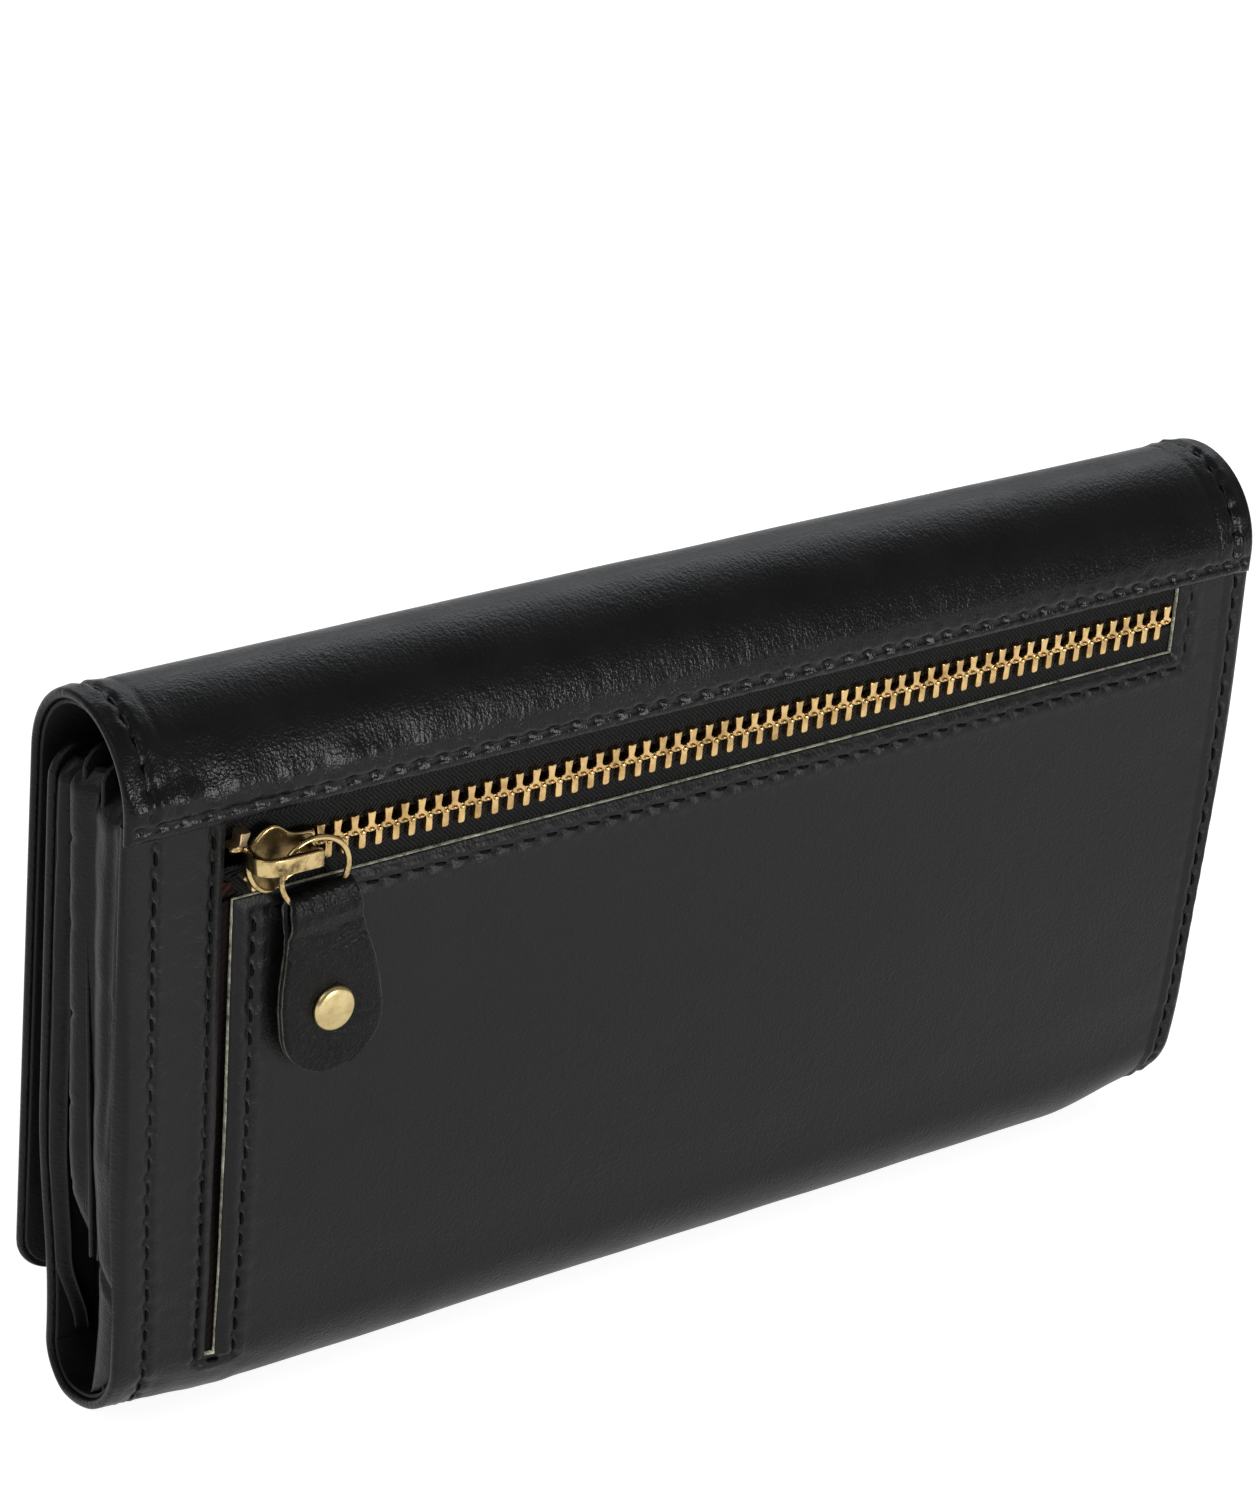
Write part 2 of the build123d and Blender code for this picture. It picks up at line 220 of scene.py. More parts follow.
def raw_edge_material(name, pale):
    """The fibres of a cut leather edge, as pale as told."""
    look = Look(name, "Object")
    fibre = look.noise(600.0, 7.0, 0.75)
    shades = [(0.34, (0.02, 0.02, 0.016)), (0.45, (0.24, 0.24, 0.185)), (0.66, (0.66, 0.66, 0.54))]
    stops = [(place, tuple(pale * c for c in colour)) for place, colour in shades]
    return look.done({"Base Color": look.ramp(fibre, stops), "Normal": look.bump(fibre, 0.6, 0.0002),
                      "Roughness": 0.85})


def thread_material(name, light, specular):
    look = Look(name)
    twist = look.add("TexWave", {"Scale": 700.0, "Distortion": 0.6, "Vector": look.where},
                     bands_direction="DIAGONAL").outputs["Fac"]
    colour = look.ramp(twist, [(0.2, (0.0008, 0.0008, 0.0008)), (0.8, light)])
    return look.done({"Base Color": colour, "Normal": look.bump(twist, 0.5, 0.0001), "Roughness": 0.5,
                      "Specular IOR Level": specular})


def cloth_material(name, dark, light, scale, depth=0.5, zigzag=0.0):
    """Twill: two crossed sets of ribs under a little fuzz, or a herringbone of that reach."""
    look = Look(name)
    where = folded_back(look, zigzag) if zigzag else look.where
    ribs = look.add("TexWave", {"Scale": scale, "Distortion": 1.2 if zigzag else 0.35,
                                "Detail Scale": 3.0, "Vector": where},
                    bands_direction="DIAGONAL", wave_profile="TRI").outputs["Fac"]
    yarn = look.add("TexWave", {"Scale": scale * 1.9, "Vector": where}, bands_direction="Y").outputs["Fac"]
    normal = look.bump(ribs, depth, 0.0003)
    normal = look.bump(yarn, depth * 0.5, 0.0001, normal)
    normal = look.bump(look.noise(2500.0, 4.0, where=where), 0.3, 0.0001, normal)
    return look.done({"Base Color": look.ramp(ribs, [(0.15, dark), (0.85, light)]), "Normal": normal,
                      "Roughness": 0.8, "Specular IOR Level": 0.1, "Sheen Weight": 0.05,
                      "Sheen Roughness": 0.4})


def folded_back(look, reach):
    """Flat coordinates whose second axis runs to and fro, so that slanted ribs become a herringbone."""
    parts = look.add("SeparateXYZ", {"Vector": look.where})
    fold = look.add("Math", {0: parts.outputs["Y"], 1: reach}, operation="PINGPONG")
    return look.add("CombineXYZ", {"X": parts.outputs["X"], "Y": fold.outputs["Value"]}).outputs["Vector"]


def metal_material(name, dark, light, rough_low, rough_high, scale=350.0, spread=0.15):
    """Metal with blotchy tarnish and fine scratches."""
    look = Look(name, "Object")
    cloud = look.noise(scale, 5.0, 0.65)
    return look.done({"Base Color": look.ramp(cloud, [(0.47 - spread, dark), (0.47 + spread, light)]),
                      "Roughness": look.between(cloud, rough_high, rough_low),
                      "Normal": look.bump(look.noise(4200.0, 3.0), 0.25, 0.00003), "Metallic": 1.0})


BLACK = leather_material("black_leather", (0.0022, 0.0021, 0.002), (0.0046, 0.0044, 0.0043), 0.38, 0.50)
CROWN = leather_material("crown_leather", (0.0022, 0.0022, 0.0022), (0.0046, 0.0046, 0.0048), 0.31, 0.42,
                         0.8, specular=0.165, shine_below=0.015, wrinkle=0.35)
LINER = leather_material("lining_leather", (0.003, 0.0028, 0.0028), (0.007, 0.0066, 0.0064), 0.5, 0.7, 0.8)
GUSSET = leather_material("gusset_leather", (0.0020, 0.0020, 0.0020), (0.0046, 0.0045, 0.0045), 0.33, 0.46,
                          0.9)
PULL = leather_material("pull_leather", (0.0016, 0.0014, 0.0013), (0.0042, 0.0038, 0.0035), 0.26, 0.44, 1.7,
                        specular=0.11, specks=0.03)
RAW = raw_edge_material("raw_leather_edge", 1.5)
FRAYED = raw_edge_material("frayed_black_edge", 0.16)
THREAD = thread_material("black_thread", (0.007, 0.007, 0.0075), 0.25)
# The same black thread as THREAD, less glossy and darker in colour: the darker colour is painted shade.
SHADED_THREAD = thread_material("dull_thread_painted_shade", (0.0022, 0.0022, 0.0022), 0.05)
TAPE = cloth_material("zip_tape", (0.0008, 0.0008, 0.0008), (0.013, 0.0122, 0.0118), 900.0, 0.9, 0.0021)
RUST = cloth_material("rust_lining", (0.004, 0.0016, 0.0012), (0.034, 0.009, 0.005), 420.0)
# A darker copy of the rust lining: its darkness is painted shade, for the cloth seen down the narrow slit.
SHADED_RUST = cloth_material("rust_lining_painted_shade", (0.0010, 0.0006, 0.0005), (0.0055, 0.0016, 0.0011), 420.0)
TOOTH = metal_material("golden_brass", (0.34, 0.21, 0.08), (0.66, 0.45, 0.20), 0.18, 0.34)
ANTIQUE = metal_material("antique_brass", (0.030, 0.020, 0.010), (0.21, 0.145, 0.06), 0.20, 0.38)
WORN = metal_material("worn_brass", (0.085, 0.058, 0.024), (0.55, 0.41, 0.19), 0.14, 0.32, 300.0, 0.09)
# A paler copy of the brass for the top stops: the paleness is a painted highlight, for clips that sit in shade.
LIT_BRASS = metal_material("brass_painted_highlight", (0.70, 0.50, 0.27), (0.95, 0.74, 0.45), 0.28, 0.42)
SATIN = metal_material("satin_brass", (0.38, 0.29, 0.13), (0.60, 0.48, 0.24), 0.22, 0.36)
STEEL = metal_material("plated_steel", (0.30, 0.30, 0.31), (0.55, 0.55, 0.56), 0.25, 0.4)


# Smooth random height, the same at each run

def wander(x, s, scale_x, scale_s, seed):
    """Smooth noise from -1 to 1 over millimetres, from a seeded lattice."""
    lattice = np.random.default_rng(seed).uniform(-1, 1, (97, 97))
    u = np.asarray(x) / scale_x + 31.7
    v = np.asarray(s) / scale_s + 17.3
    iu = np.floor(u).astype(int)
    iv = np.floor(v).astype(int)
    fu = u - iu
    fv = v - iv
    fu = fu * fu * (3 - 2 * fu)
    fv = fv * fv * (3 - 2 * fv)

    def pick(a, b):
        return lattice[a % 97, b % 97]

    low = pick(iu, iv) * (1 - fu) + pick(iu + 1, iv) * fu
    high = pick(iu, iv + 1) * (1 - fu) + pick(iu + 1, iv + 1) * fu
    return low * (1 - fv) + high * fv


def bell(d, width):
    return np.exp(-(np.asarray(d) / width) ** 2)


def ease(t):
    t = np.clip(t, 0, 1)
    return t * t * (3 - 2 * t)


# Paths in Y and Z

class Path:
    """A line of straight runs and arcs in Y and Z, read by its length s."""

    def __init__(self, pieces, outward):
        points = []
        for piece in pieces:
            if piece[0] == "line":
                (y0, z0), (y1, z1) = piece[1:]
                n = max(2, int(math.hypot(y1 - y0, z1 - z0) / 0.2))
                t = np.linspace(0, 1, n)
                run = np.stack([y0 + (y1 - y0) * t, z0 + (z1 - z0) * t], 1)
            else:
                cy, cz, r, a0, a1 = piece[1:]
                n = max(8, int(abs(math.radians(a1 - a0)) * r / 0.1))
                a = np.radians(np.linspace(a0, a1, n))
                run = np.stack([cy + r * np.cos(a), cz + r * np.sin(a)], 1)
            points.append(run if not points else run[1:])
        p = np.concatenate(points)
        self.s = np.concatenate([[0], np.cumsum(np.hypot(*np.diff(p, axis=0).T))])
        self.p = p
        t = np.gradient(p, self.s, axis=0)
        t /= np.linalg.norm(t, axis=1)[:, None]
        self.n = outward * np.stack([t[:, 1], -t[:, 0]], 1)
        self.length = self.s[-1]
        self.skew = None
        self.warp = None

    def lay(self, x, s, h):
        """The drawing points of flat places x, s at depth h under the outer face."""
        x, s, h = np.broadcast_arrays(x, s, h)
        if self.skew:
            s = s - self.skew(x, s)
        y = np.interp(s, self.s, self.p[:, 0])
        z = np.interp(s, self.s, self.p[:, 1])
        ny = np.interp(s, self.s, self.n[:, 0])
        nz = np.interp(s, self.s, self.n[:, 1])
        places = np.stack([x, y - h * ny, z - h * nz], -1)
        return self.warp(places) if self.warp else places

    def s_at(self, y, z):
        return float(self.s[np.argmin(np.hypot(self.p[:, 0] - y, self.p[:, 1] - z))])


def settle(places):
    """The soft ends: the foot is pinched up and in, and the right side stands out a little half-way up."""
    x, y, z = places[..., 0], places[..., 1], places[..., 2]
    end = ease((np.abs(x) - 74) / 21)
    foot = 1 - ease(z / 24)
    right = ease((x - 68) / 27)
    left = ease((-68 - x) / 27)
    wide = right * (1.3 * bell(z - 68, 26) - 1.7 * foot) + left * 1.3 * (1 - ease((z - 16) / 30))
    rise = end * foot * np.where(x > 0, 3.2, 1.9)
    squeeze = 1.2 * end * bell(z - 10, 16) * ease((y - 12) / 6)
    return np.stack([x + wide, y - squeeze, z + rise], -1)


SHELL = Path([("line", (0, CROWN_Z), (0, BACK_R)),
              ("arc", BACK_R, BACK_R, BACK_R, 180, 270),
              ("arc", BACK_R, FRONT_R, FRONT_R, 270, 360),
              ("line", (FRONT_Y, FRONT_R), (FRONT_Y, FRONT_TOP))], 1)
SHELL.warp = settle
SHELL.skew = lambda x, s: chain_rise(x) * bell((CROWN_Z - s) - 86, 12)
FLAP_LEAN = 1.1
FLAP = Path([("line", (SEAM_Y, SEAM_Z), (SEAM_Y, CROWN_Z)),
             ("arc", CROWN_Y, CROWN_Z, CROWN_R, 180, 0),
             ("line", (FLAP_Y, CROWN_Z), (FLAP_Y + FLAP_LEAN, HEM_Z))], -1)
CREST_S = FLAP.s_at(CROWN_Y, TOP)


# Meshes

HOLE_EDGE = 0.15      # radius of a rounded edge round a hole


def grid_lines(low, high, step, marks=(), radius=0.0):
    """Lines from low to high, with closer ones on both sides of each mark."""
    fan = [0.0, 0.06, 0.22, 0.45, 0.72, 1.0]
    lines = [low, high]
    fixed = [low, high, *marks]
    for mark in fixed:
        for f in fan:
            lines += [mark - f * radius, mark + f * radius]
    count = max(1, int(round((high - low) / step)))
    for value in np.linspace(low, high, count + 1):
        if min(abs(value - m) for m in fixed) > radius + 0.35 * step:
            lines.append(value)
    lines = sorted(v for v in lines if low - 1e-6 <= v <= high + 1e-6)
    kept = [lines[0]]
    for value in lines[1:]:
        if value - kept[-1] > 0.02:
            kept.append(value)
    kept[-1] = high
    return np.array(kept)


def fall(d, r):
    """How far a rounded edge has dropped at distance d from the edge."""
    d = np.clip(d, 0, r)
    return r - np.sqrt(np.maximum(0, r * r - (r - d) ** 2))


def tube_faces(rings, sides, start=0, joined=False):
    """Faces between rings of points, and from the last ring to the first if joined."""
    faces = []
    for i in range(rings if joined else rings - 1):
        low, high = start + i * sides, start + (i + 1) % rings * sides
        for k in range(sides):
            turn = (k + 1) % sides
            faces.append((low + k, low + turn, high + turn, high + k))
    return faces


def capped_rings(rings):
    """The points and faces of a solid through equal rings of points, closed at both ends."""
    points = [point for ring in rings for point in ring]
    sides = len(rings[0])
    last = len(points) - sides
    return points, tube_faces(len(rings), sides) + [tuple(range(sides)), tuple(range(last, last + sides))]


def slab_faces(rows, across):
    """Faces of a closed slab, one layer of rows after the other, and 1 for each face at its sides or ends."""
    faces, kinds = [], []
    total = rows * across

    def wall(a, b):
        faces.append((a, b, total + b, total + a))
        kinds.append(1)

    for i in range(rows - 1):
        for k in range(across - 1):
            a = i * across + k
            faces.append((a, a + 1, a + 1 + across, a + across))
            faces.append((total + a, total + a + across, total + a + 1 + across, total + a + 1))
            kinds += [int(k in (0, across - 2))] * 2
        for a in (i * across, (i + 1) * across - 1):
            wall(a, a + across)
    for i in (0, rows - 1):
        for a in range(i * across, (i + 1) * across - 1):
            wall(a, a + 1)
    return faces, kinds


def bevel_edges(obj, width, segments, angle=None):
    """Rounds the edges of obj, or only those that turn by more than an angle."""
    bevel = obj.modifiers.new("edges", "BEVEL")
    bevel.width = width * MM
    bevel.segments = segments
    if angle:
        bevel.limit_method = "ANGLE"
        bevel.angle_limit = angle


def make_mesh(name, points, faces, materials, uv=None, kinds=None, smooth=True):
    """An object from drawing points. kinds gives the place of each face's material."""
    mesh = bpy.data.meshes.new(name)
    mesh.from_pydata(metres(points).tolist(), [], faces)
    for material in materials:
        mesh.materials.append(material)
    if kinds is not None:
        mesh.polygons.foreach_set("material_index", np.asarray(kinds, np.int32))
    mesh.polygons.foreach_set("use_smooth", np.full(len(mesh.polygons), smooth))
    if uv is not None:
        layer = mesh.uv_layers.new(name="flat")
        loops = np.empty(len(mesh.loops), np.int32)
        mesh.loops.foreach_get("vertex_index", loops)
        layer.data.foreach_set("uv", (np.asarray(uv)[loops] * MM).astype(np.float32).ravel())
    mesh.update()
    work = bmesh.new()
    work.from_mesh(mesh)
    bmesh.ops.recalc_face_normals(work, faces=work.faces)
    work.to_mesh(mesh)
    work.free()
    obj = bpy.data.objects.new(name, mesh)
    bpy.context.collection.objects.link(obj)
    return obj


def sheet(name, path, xs, ss, thick, materials, relief=None, under=None, holes=(), edge=0.45,
          open_end=None, corner=None, skive=(0.0, 1.0)):
    """A closed sheet of leather or cloth on a path. Its edges are rounded, except at an open end.

    relief and under are how far its outer and inner face sink, and skive how much thinner it gets and how far
    from its holes, (x0, x1, s0, s1). The walls of a hole take the second material.
    """
    x, s = np.meshgrid(xs, ss, indexing="ij")
    far = np.minimum(x - xs[0], xs[-1] - x)
    if open_end != "start":
        far = np.minimum(far, s - ss[0])
    if open_end != "end":
        far = np.minimum(far, ss[-1] - s)
    drop = fall(far, edge)
    thinner = np.zeros(x.shape)
    keep = np.ones((len(xs) - 1, len(ss) - 1), bool)
    mid_x = (xs[:-1] + xs[1:])[:, None] / 2
    mid_s = (ss[:-1] + ss[1:])[None, :] / 2
    for x0, x1, s0, s1 in holes:
        inside = (mid_x > x0) & (mid_x < x1) & (mid_s > s0) & (mid_s < s1)
        keep &= ~inside
        away = np.hypot(np.maximum(np.maximum(x0 - x, x - x1), 0), np.maximum(np.maximum(s0 - s, s - s1), 0))
        drop = np.maximum(drop, fall(away, HOLE_EDGE))
        thinner = np.maximum(thinner, skive[0] * (1 - ease(away / skive[1])))
    high = drop + thinner
    if relief:
        high = high + relief(x, s) * ease(far / 1.2)
    low = thick - drop
    if under:
        low = low + under(x, s)
    low = np.maximum(low, high + 0.02)
    bent_x = corner(x, s) if corner else x
    n = x.size
    points = np.concatenate([path.lay(bent_x.ravel(), s.ravel(), high.ravel()),
                             path.lay(bent_x.ravel(), s.ravel(), low.ravel())])
    uv = np.concatenate([np.stack([x.ravel(), s.ravel()], 1)] * 2)
    index = np.arange(n).reshape(x.shape)
    a, b, c, d = index[:-1, :-1], index[1:, :-1], index[1:, 1:], index[:-1, 1:]
    top = np.stack([a, d, c, b], -1)[keep]
    bottom = np.stack([a, b, c, d], -1)[keep] + n
    faces = [top, bottom]
    kinds = [np.zeros(len(top), int), np.zeros(len(bottom), int)]
    pad = np.zeros((len(xs) + 1, len(ss) + 1), bool)
    pad[1:-1, 1:-1] = keep
    border = np.zeros((len(xs) + 1, len(ss) + 1), bool)
    border[0, :] = border[-1, :] = border[:, 0] = border[:, -1] = True
    walls = []
    for i, j in np.argwhere(pad[:-1, :] != pad[1:, :]):
        p, q = index[i, j - 1], index[i, j]
        outer = border[i, j] or border[i + 1, j]
        walls.append(((q, p) if pad[i + 1, j] else (p, q), outer))
    for i, j in np.argwhere(pad[:, :-1] != pad[:, 1:]):
        p, q = index[i - 1, j], index[i, j]
        outer = border[i, j] or border[i, j + 1]
        walls.append(((p, q) if pad[i, j + 1] else (q, p), outer))
    wall = np.array([(p, q, q + n, p + n) for (p, q), _ in walls], int).reshape(-1, 4)
    faces.append(wall)
    kinds.append(np.array([0 if outer or len(materials) < 2 else 1 for _, outer in walls], int))
    faces = np.concatenate(faces)
    kinds = np.concatenate(kinds)
    used = np.unique(faces)
    renumber = np.full(2 * n, -1)
    renumber[used] = np.arange(len(used))
    return make_mesh(name, points[used], renumber[faces].tolist(), materials, uv[used], kinds)


# Stitches: each is a short thread that dips into a hole at both ends.

def line_places(run):
    """(x, s, direction) of each stitch of a run, ("x", x0, x1, s) or ("s", s0, s1, x)."""
    kind, low, high, fixed = run
    count = int(abs(high - low) / STITCH)
    step = (high - low) / count
    for k in range(count):
        along = low + (k + 0.5) * step
        yield ((along, fixed, 0) if kind == "x" else (fixed, along, 1))


def stitch_relief(x, s, runs):
    """The puckered groove that the thread pulls into the leather."""
    depth = np.zeros_like(x)
    for kind, low, high, fixed in runs:
        along, away = (x, s - fixed) if kind == "x" else (s, x - fixed)
        low, high = min(low, high), max(low, high)
        inside = ease((along - low + 1) / 1.0) * ease((high + 1 - along) / 1.0)
        count = int((high - low) / STITCH)
        step = (high - low) / count
        phase = (along - low) / step
        hole = (0.5 + 0.5 * np.cos(2 * np.pi * phase)) ** 3
        depth += inside * (0.30 * bell(away, 0.46) + 0.62 * hole * bell(away, 0.50))
        swell = 0.5 - 0.5 * np.cos(2 * np.pi * phase)
        depth -= inside * (0.06 + 0.18 * swell) * bell(np.abs(away) - 1.1, 0.6)
    return depth


def stitches(name, path, bodies, runs, depth=0.26, radius=0.24, length=0.76, seed=5, lift=None, thread=THREAD):
    """All stitches of some runs as one mesh of threads."""
    rng = np.random.default_rng(seed)
    rings, sides = 7, 8
    points, faces, uv = [], [], []
    half = STITCH * length / 2
    for run in runs:
        for x, s, turned in line_places(run):
            yaw = rng.uniform(0.03, 0.16)
            wobble = rng.uniform(-0.05, 0.05)
            base = len(points)
            for t in np.linspace(-1, 1, rings):
                girth = radius * math.sqrt(max(0.05, 1 - (abs(t) ** 3.2)))
                sink = depth + 0.24 * abs(t) ** 4
                for k in range(sides):
                    a = 2 * math.pi * k / sides
                    along = t * half
                    across = girth * math.cos(a) + wobble + along * yaw
                    dx, ds = (across, along) if turned else (along, across)
                    points.append((x + dx, s + ds, sink - 0.8 * girth * math.sin(a)))
                    uv.append((along, k * 0.15))
            faces += tube_faces(rings, sides, base)
            faces += [tuple(range(base, base + sides)), tuple(range(len(points) - sides, len(points)))]
    flat = np.array(points)
    if lift:
        flat[:, 2] += lift(flat[:, 0], flat[:, 1])
    obj = make_mesh(name, path.lay(*flat.T), faces, [thread], np.array(uv))
    attach(obj, bodies, "leather")


# Back, bottom and front in one leather

BEND_FRONT = ("purse_body", "front_panel", spot(0, 13.0, 6.0), spot(0, 18.2, 6.0))


def shell_s(z):
    """Length along the shell's path of height z on the back."""
    return CROWN_Z - z


FRONT_S = SHELL.s_at(FRONT_Y, FRONT_R)
BACK_RUNS = [
    ("s", shell_s(94.5), SHELL.length - 4, -90.1),
    ("s", shell_s(94.8), SHELL.length - 4, 92.7),
    ("s", shell_s(94.6), shell_s(10.6), -81.5),
    ("s", shell_s(80.8), shell_s(10.3), -75.0),
    ("x", -72.8, 84.0, shell_s(81.0)),
    ("s", shell_s(94.8), shell_s(82.0), 84.2),
    ("x", -80.6, -75.8, shell_s(10.2)),
]
FRONT_RUNS = [("x", -88.0, 89.5, SHELL.length - 3.4)]


def back_bulge(x, s):
    """The back swells a little over what is inside, most at the left edge, and stays flat by the pull."""
    z = CROWN_Z - s
    swell = 0.75 * bell(z - 42, 24) * (z > BACK_R)
    left = 0.45 * bell(x + 95, 14) * bell(z - 55, 22)
    return -(swell + left) * ease((z - BACK_R) / 12)


def back_relief(x, s):
    depth = stitch_relief(x, s, BACK_RUNS + FRONT_RUNS)
    depth += back_bulge(x, s)
    depth -= 0.32 * bell(x + 92.7, 1.5) * ease((CROWN_Z - s) / 6)
    depth += 0.22 * bell(x - 90.6, 0.45) - 0.12 * bell(x - 91.3, 0.5)
    depth += 0.05 * wander(x, s, 9, 9, 11) + 0.10 * wander(x, s, 34, 26, 12)
    near_stitch = bell(x + 86, 8) + bell(x - 92, 4)
    depth += 0.09 * near_stitch * wander(x, s, 4, 1.5, 13)
    depth += 0.10 * bell(x + 74, 4) * wander(x, s, 3, 2.2, 14)
    depth += 0.10 * bell(s - shell_s(81.0), 1.6) * wander(x, s, 1.2, 1.2, 15)
    return depth


def rounded_top(radius, s_end, half):
    """Corner rounding of a sheet's far end."""
    def corner(x, s):
        gone = s - (s_end - radius)
        cut = np.where(gone > 0, radius - np.sqrt(np.maximum(0, radius ** 2 - gone ** 2)), 0)
        pull = ease((np.abs(x) - (half - 3 * radius)) / (3 * radius))
        return x - np.sign(x) * cut * pull
    return corner


def corner_lines(s_end, radius):
    """Lines close enough to draw a rounded corner near s_end."""
    return [s_end - radius + radius * math.sin(math.radians(a)) for a in (15, 30, 45, 60, 70, 78, 84)]


def build_shell():
    marks_x = [WINDOW[0], WINDOW[2], SLIT[0], SLIT[2]]
    marks_s = [shell_s(WINDOW[1]), shell_s(SLIT[1])]
    xs = grid_lines(-HALF, HALF, 0.62, marks_x, 1.7)
    back = grid_lines(0, FRONT_S, 0.62, marks_s, 1.7)
    front = grid_lines(FRONT_S, SHELL.length, 1.4, [], 0.5)
    ss = np.unique(np.round(np.concatenate([back, front, corner_lines(SHELL.length, 5.0)]), 4))
    holes = [(WINDOW[0], WINDOW[2], -5, shell_s(WINDOW[1])),
             (SLIT[0], SLIT[2], shell_s(SLIT[3]) - 3, shell_s(SLIT[1]))]
    obj = sheet("outer_leather", SHELL, xs, ss, LEATHER, [BLACK, RAW], back_relief,
                lambda x, s: 0.9 * back_bulge(x, s), holes, edge=0.6, open_end="start",
                corner=rounded_top(5.0, SHELL.length, HALF), skive=(0.48, 1.6))
    # The back stitches take the thread whose darker colour is painted shade.
    stitches("back_stitches", SHELL, BEND_FRONT, BACK_RUNS + FRONT_RUNS, depth=0.16, radius=0.31, length=0.62,
             lift=back_bulge, thread=SHADED_THREAD)
    attach(obj, BEND_FRONT, "leather", "back_panel", "front_leather")


# Flap: two pieces that meet on the crest

BEND_BACK = ("purse_body", "flap_crown", spot(0, -0.8, 99.0), spot(0, 8.0, 110.0))
BEND_FLAP = ("flap_crown", "flap_front", spot(0, 16.2, 110.0), spot(0, 25.0, 99.0))
EDGE_IN = 3.6
CREASE_IN = 7.0
SEAM_S = 2.1
HEM_S = FLAP.length - 3.6
SEAM_RUN = ("x", -HALF + 1.5, HALF - 1.5, SEAM_S)
HEM_RUN = ("x", -HALF + 6, HALF - 6, HEM_S)


def side_runs(low, high):
    """The rows of stitches along both ends of the flap."""
    return [("s", low, high, side * (HALF - EDGE_IN)) for side in (-1, 1)]


def flap_relief(x, s):
    """Stitches, creases beside them, puckers that are strongest at the left of the seam, and slow waves."""
    depth = stitch_relief(x, s, [SEAM_RUN, HEM_RUN] + side_runs(SEAM_S + 1.5, HEM_S - 3))
    for side in (-1, 1):
        inner = side * (HALF - CREASE_IN)
        depth += 0.20 * bell(x - inner, 0.4) - 0.06 * bell(x - inner - side * 1.4, 1.0)
        ridge = bell(side * x - (HALF - 1.9), 1.3) * ease(s / 6)
        depth += ridge * (0.16 * wander(x, s, 2.5, 2.4, 26) - 0.12)
    depth += 0.14 * bell(s - (HEM_S - 3.4), 0.4)
    depth += 0.16 * bell(s - 0.9, 1.1) * wander(x, s, 0.8, 3.0, 27)
    depth += 0.05 * bell(s - SEAM_S - 4.2, 3.8) * wander(x, s, 2.1, 5.0, 21)
    depth += 0.07 * bell(s - SEAM_S - 1.6, 1.4) * wander(x, s, 1.1, 3.0, 28)
    left = ease((-30 - x) / 50)
    depth += 0.34 * left * bell(s - SEAM_S - 4.0, 3.0) * wander(x, s * 0.6, 4.2, 3.4, 22)
    depth += 0.10 * (0.4 + left) * bell(s - SEAM_S - 2.0, 2.2) * wander(x, s * 0.8, 0.8, 2.4, 29)
    depth += 0.30 * bell(x + 88, 9) * bell(s - 9, 8) * wander(x, s, 6.0, 3.0, 23)
    depth -= (0.16 + 0.42 * left) * bell(s - SEAM_S - 2.6, 2.1)
    depth += 0.10 * wander(x, s, 16, 12, 24) + 0.16 * wander(x, s, 60, 20, 25)
    return depth


def build_flap():
    xs = grid_lines(-HALF, HALF, 0.5, [], 0.7)
    ss_a = np.unique(np.append(grid_lines(0, CREST_S, 0.5, [], 0.7), CREST_S - 0.05))
    ss_b = grid_lines(CREST_S, FLAP.length, 1.2, [], 0.7)
    ss_b = np.unique(np.concatenate([ss_b, [CREST_S + 0.05], corner_lines(FLAP.length, 6.0)]))
    a = sheet("flap_leather_back", FLAP, xs, ss_a, LEATHER, [CROWN], flap_relief, edge=0.65, open_end="end")
    b = sheet("flap_leather_front", FLAP, xs, ss_b, LEATHER, [CROWN], flap_relief, edge=0.65,
              open_end="start", corner=rounded_top(6.0, FLAP.length, HALF))
    stitches("flap_stitches_back", FLAP, BEND_BACK, [SEAM_RUN] + side_runs(SEAM_S + 1.5, CREST_S - 0.1))
    stitches("flap_stitches_front", FLAP, BEND_FLAP, [HEM_RUN] + side_runs(CREST_S + 0.1, HEM_S - 3))
    attach(a, BEND_BACK, "leather", "flap_anchor", "crown_leather")
    attach(b, BEND_FLAP, "leather", "flap_leather")


def inner_path(path_depth):
    """The flap's path, moved inward, for the lining."""
    hem = (FLAP_Y + FLAP_LEAN - path_depth, HEM_Z + 1.2)
    return Path([("arc", CROWN_Y, CROWN_Z, CROWN_R - path_depth, 172, 0),
                 ("line", (FLAP_Y - path_depth, CROWN_Z), hem)], -1)


def lining_relief(seed):
    def relief(x, s):
        return 0.05 * wander(x, s, 12, 9, seed) + 0.04 * wander(x, s, 5, 5, seed + 1)
    return relief


def build_flap_lining():
    path = inner_path(LEATHER)
    crest = path.s_at(CROWN_Y, TOP - LEATHER)
    xs = grid_lines(-HALF + 0.7, HALF - 0.7, 3, [], 0.3)
    ss_a = grid_lines(0, crest, 1.0, [], 0.3)
    ss_b = grid_lines(crest, path.length, 2.5, [], 0.3)
    ss_b = np.unique(np.concatenate([ss_b, corner_lines(path.length, 5.0)]))
    a = sheet("flap_lining_back", path, xs, ss_a, LINING, [LINER], lining_relief(31), edge=0.3, open_end="end")
    b = sheet("flap_lining_front", path, xs, ss_b, LINING, [LINER], lining_relief(33), edge=0.3,
              open_end="start", corner=rounded_top(5.5, path.length, HALF - 0.7))
    attach(a, BEND_BACK, "leather_lining", "crown_lining")
    attach(b, BEND_FLAP, "leather_lining", "flap_lining")


# Linings inside the body

def straight(y0, z0, y1, z1, outward):
    return Path([("line", (y0, z0), (y1, z1))], outward)


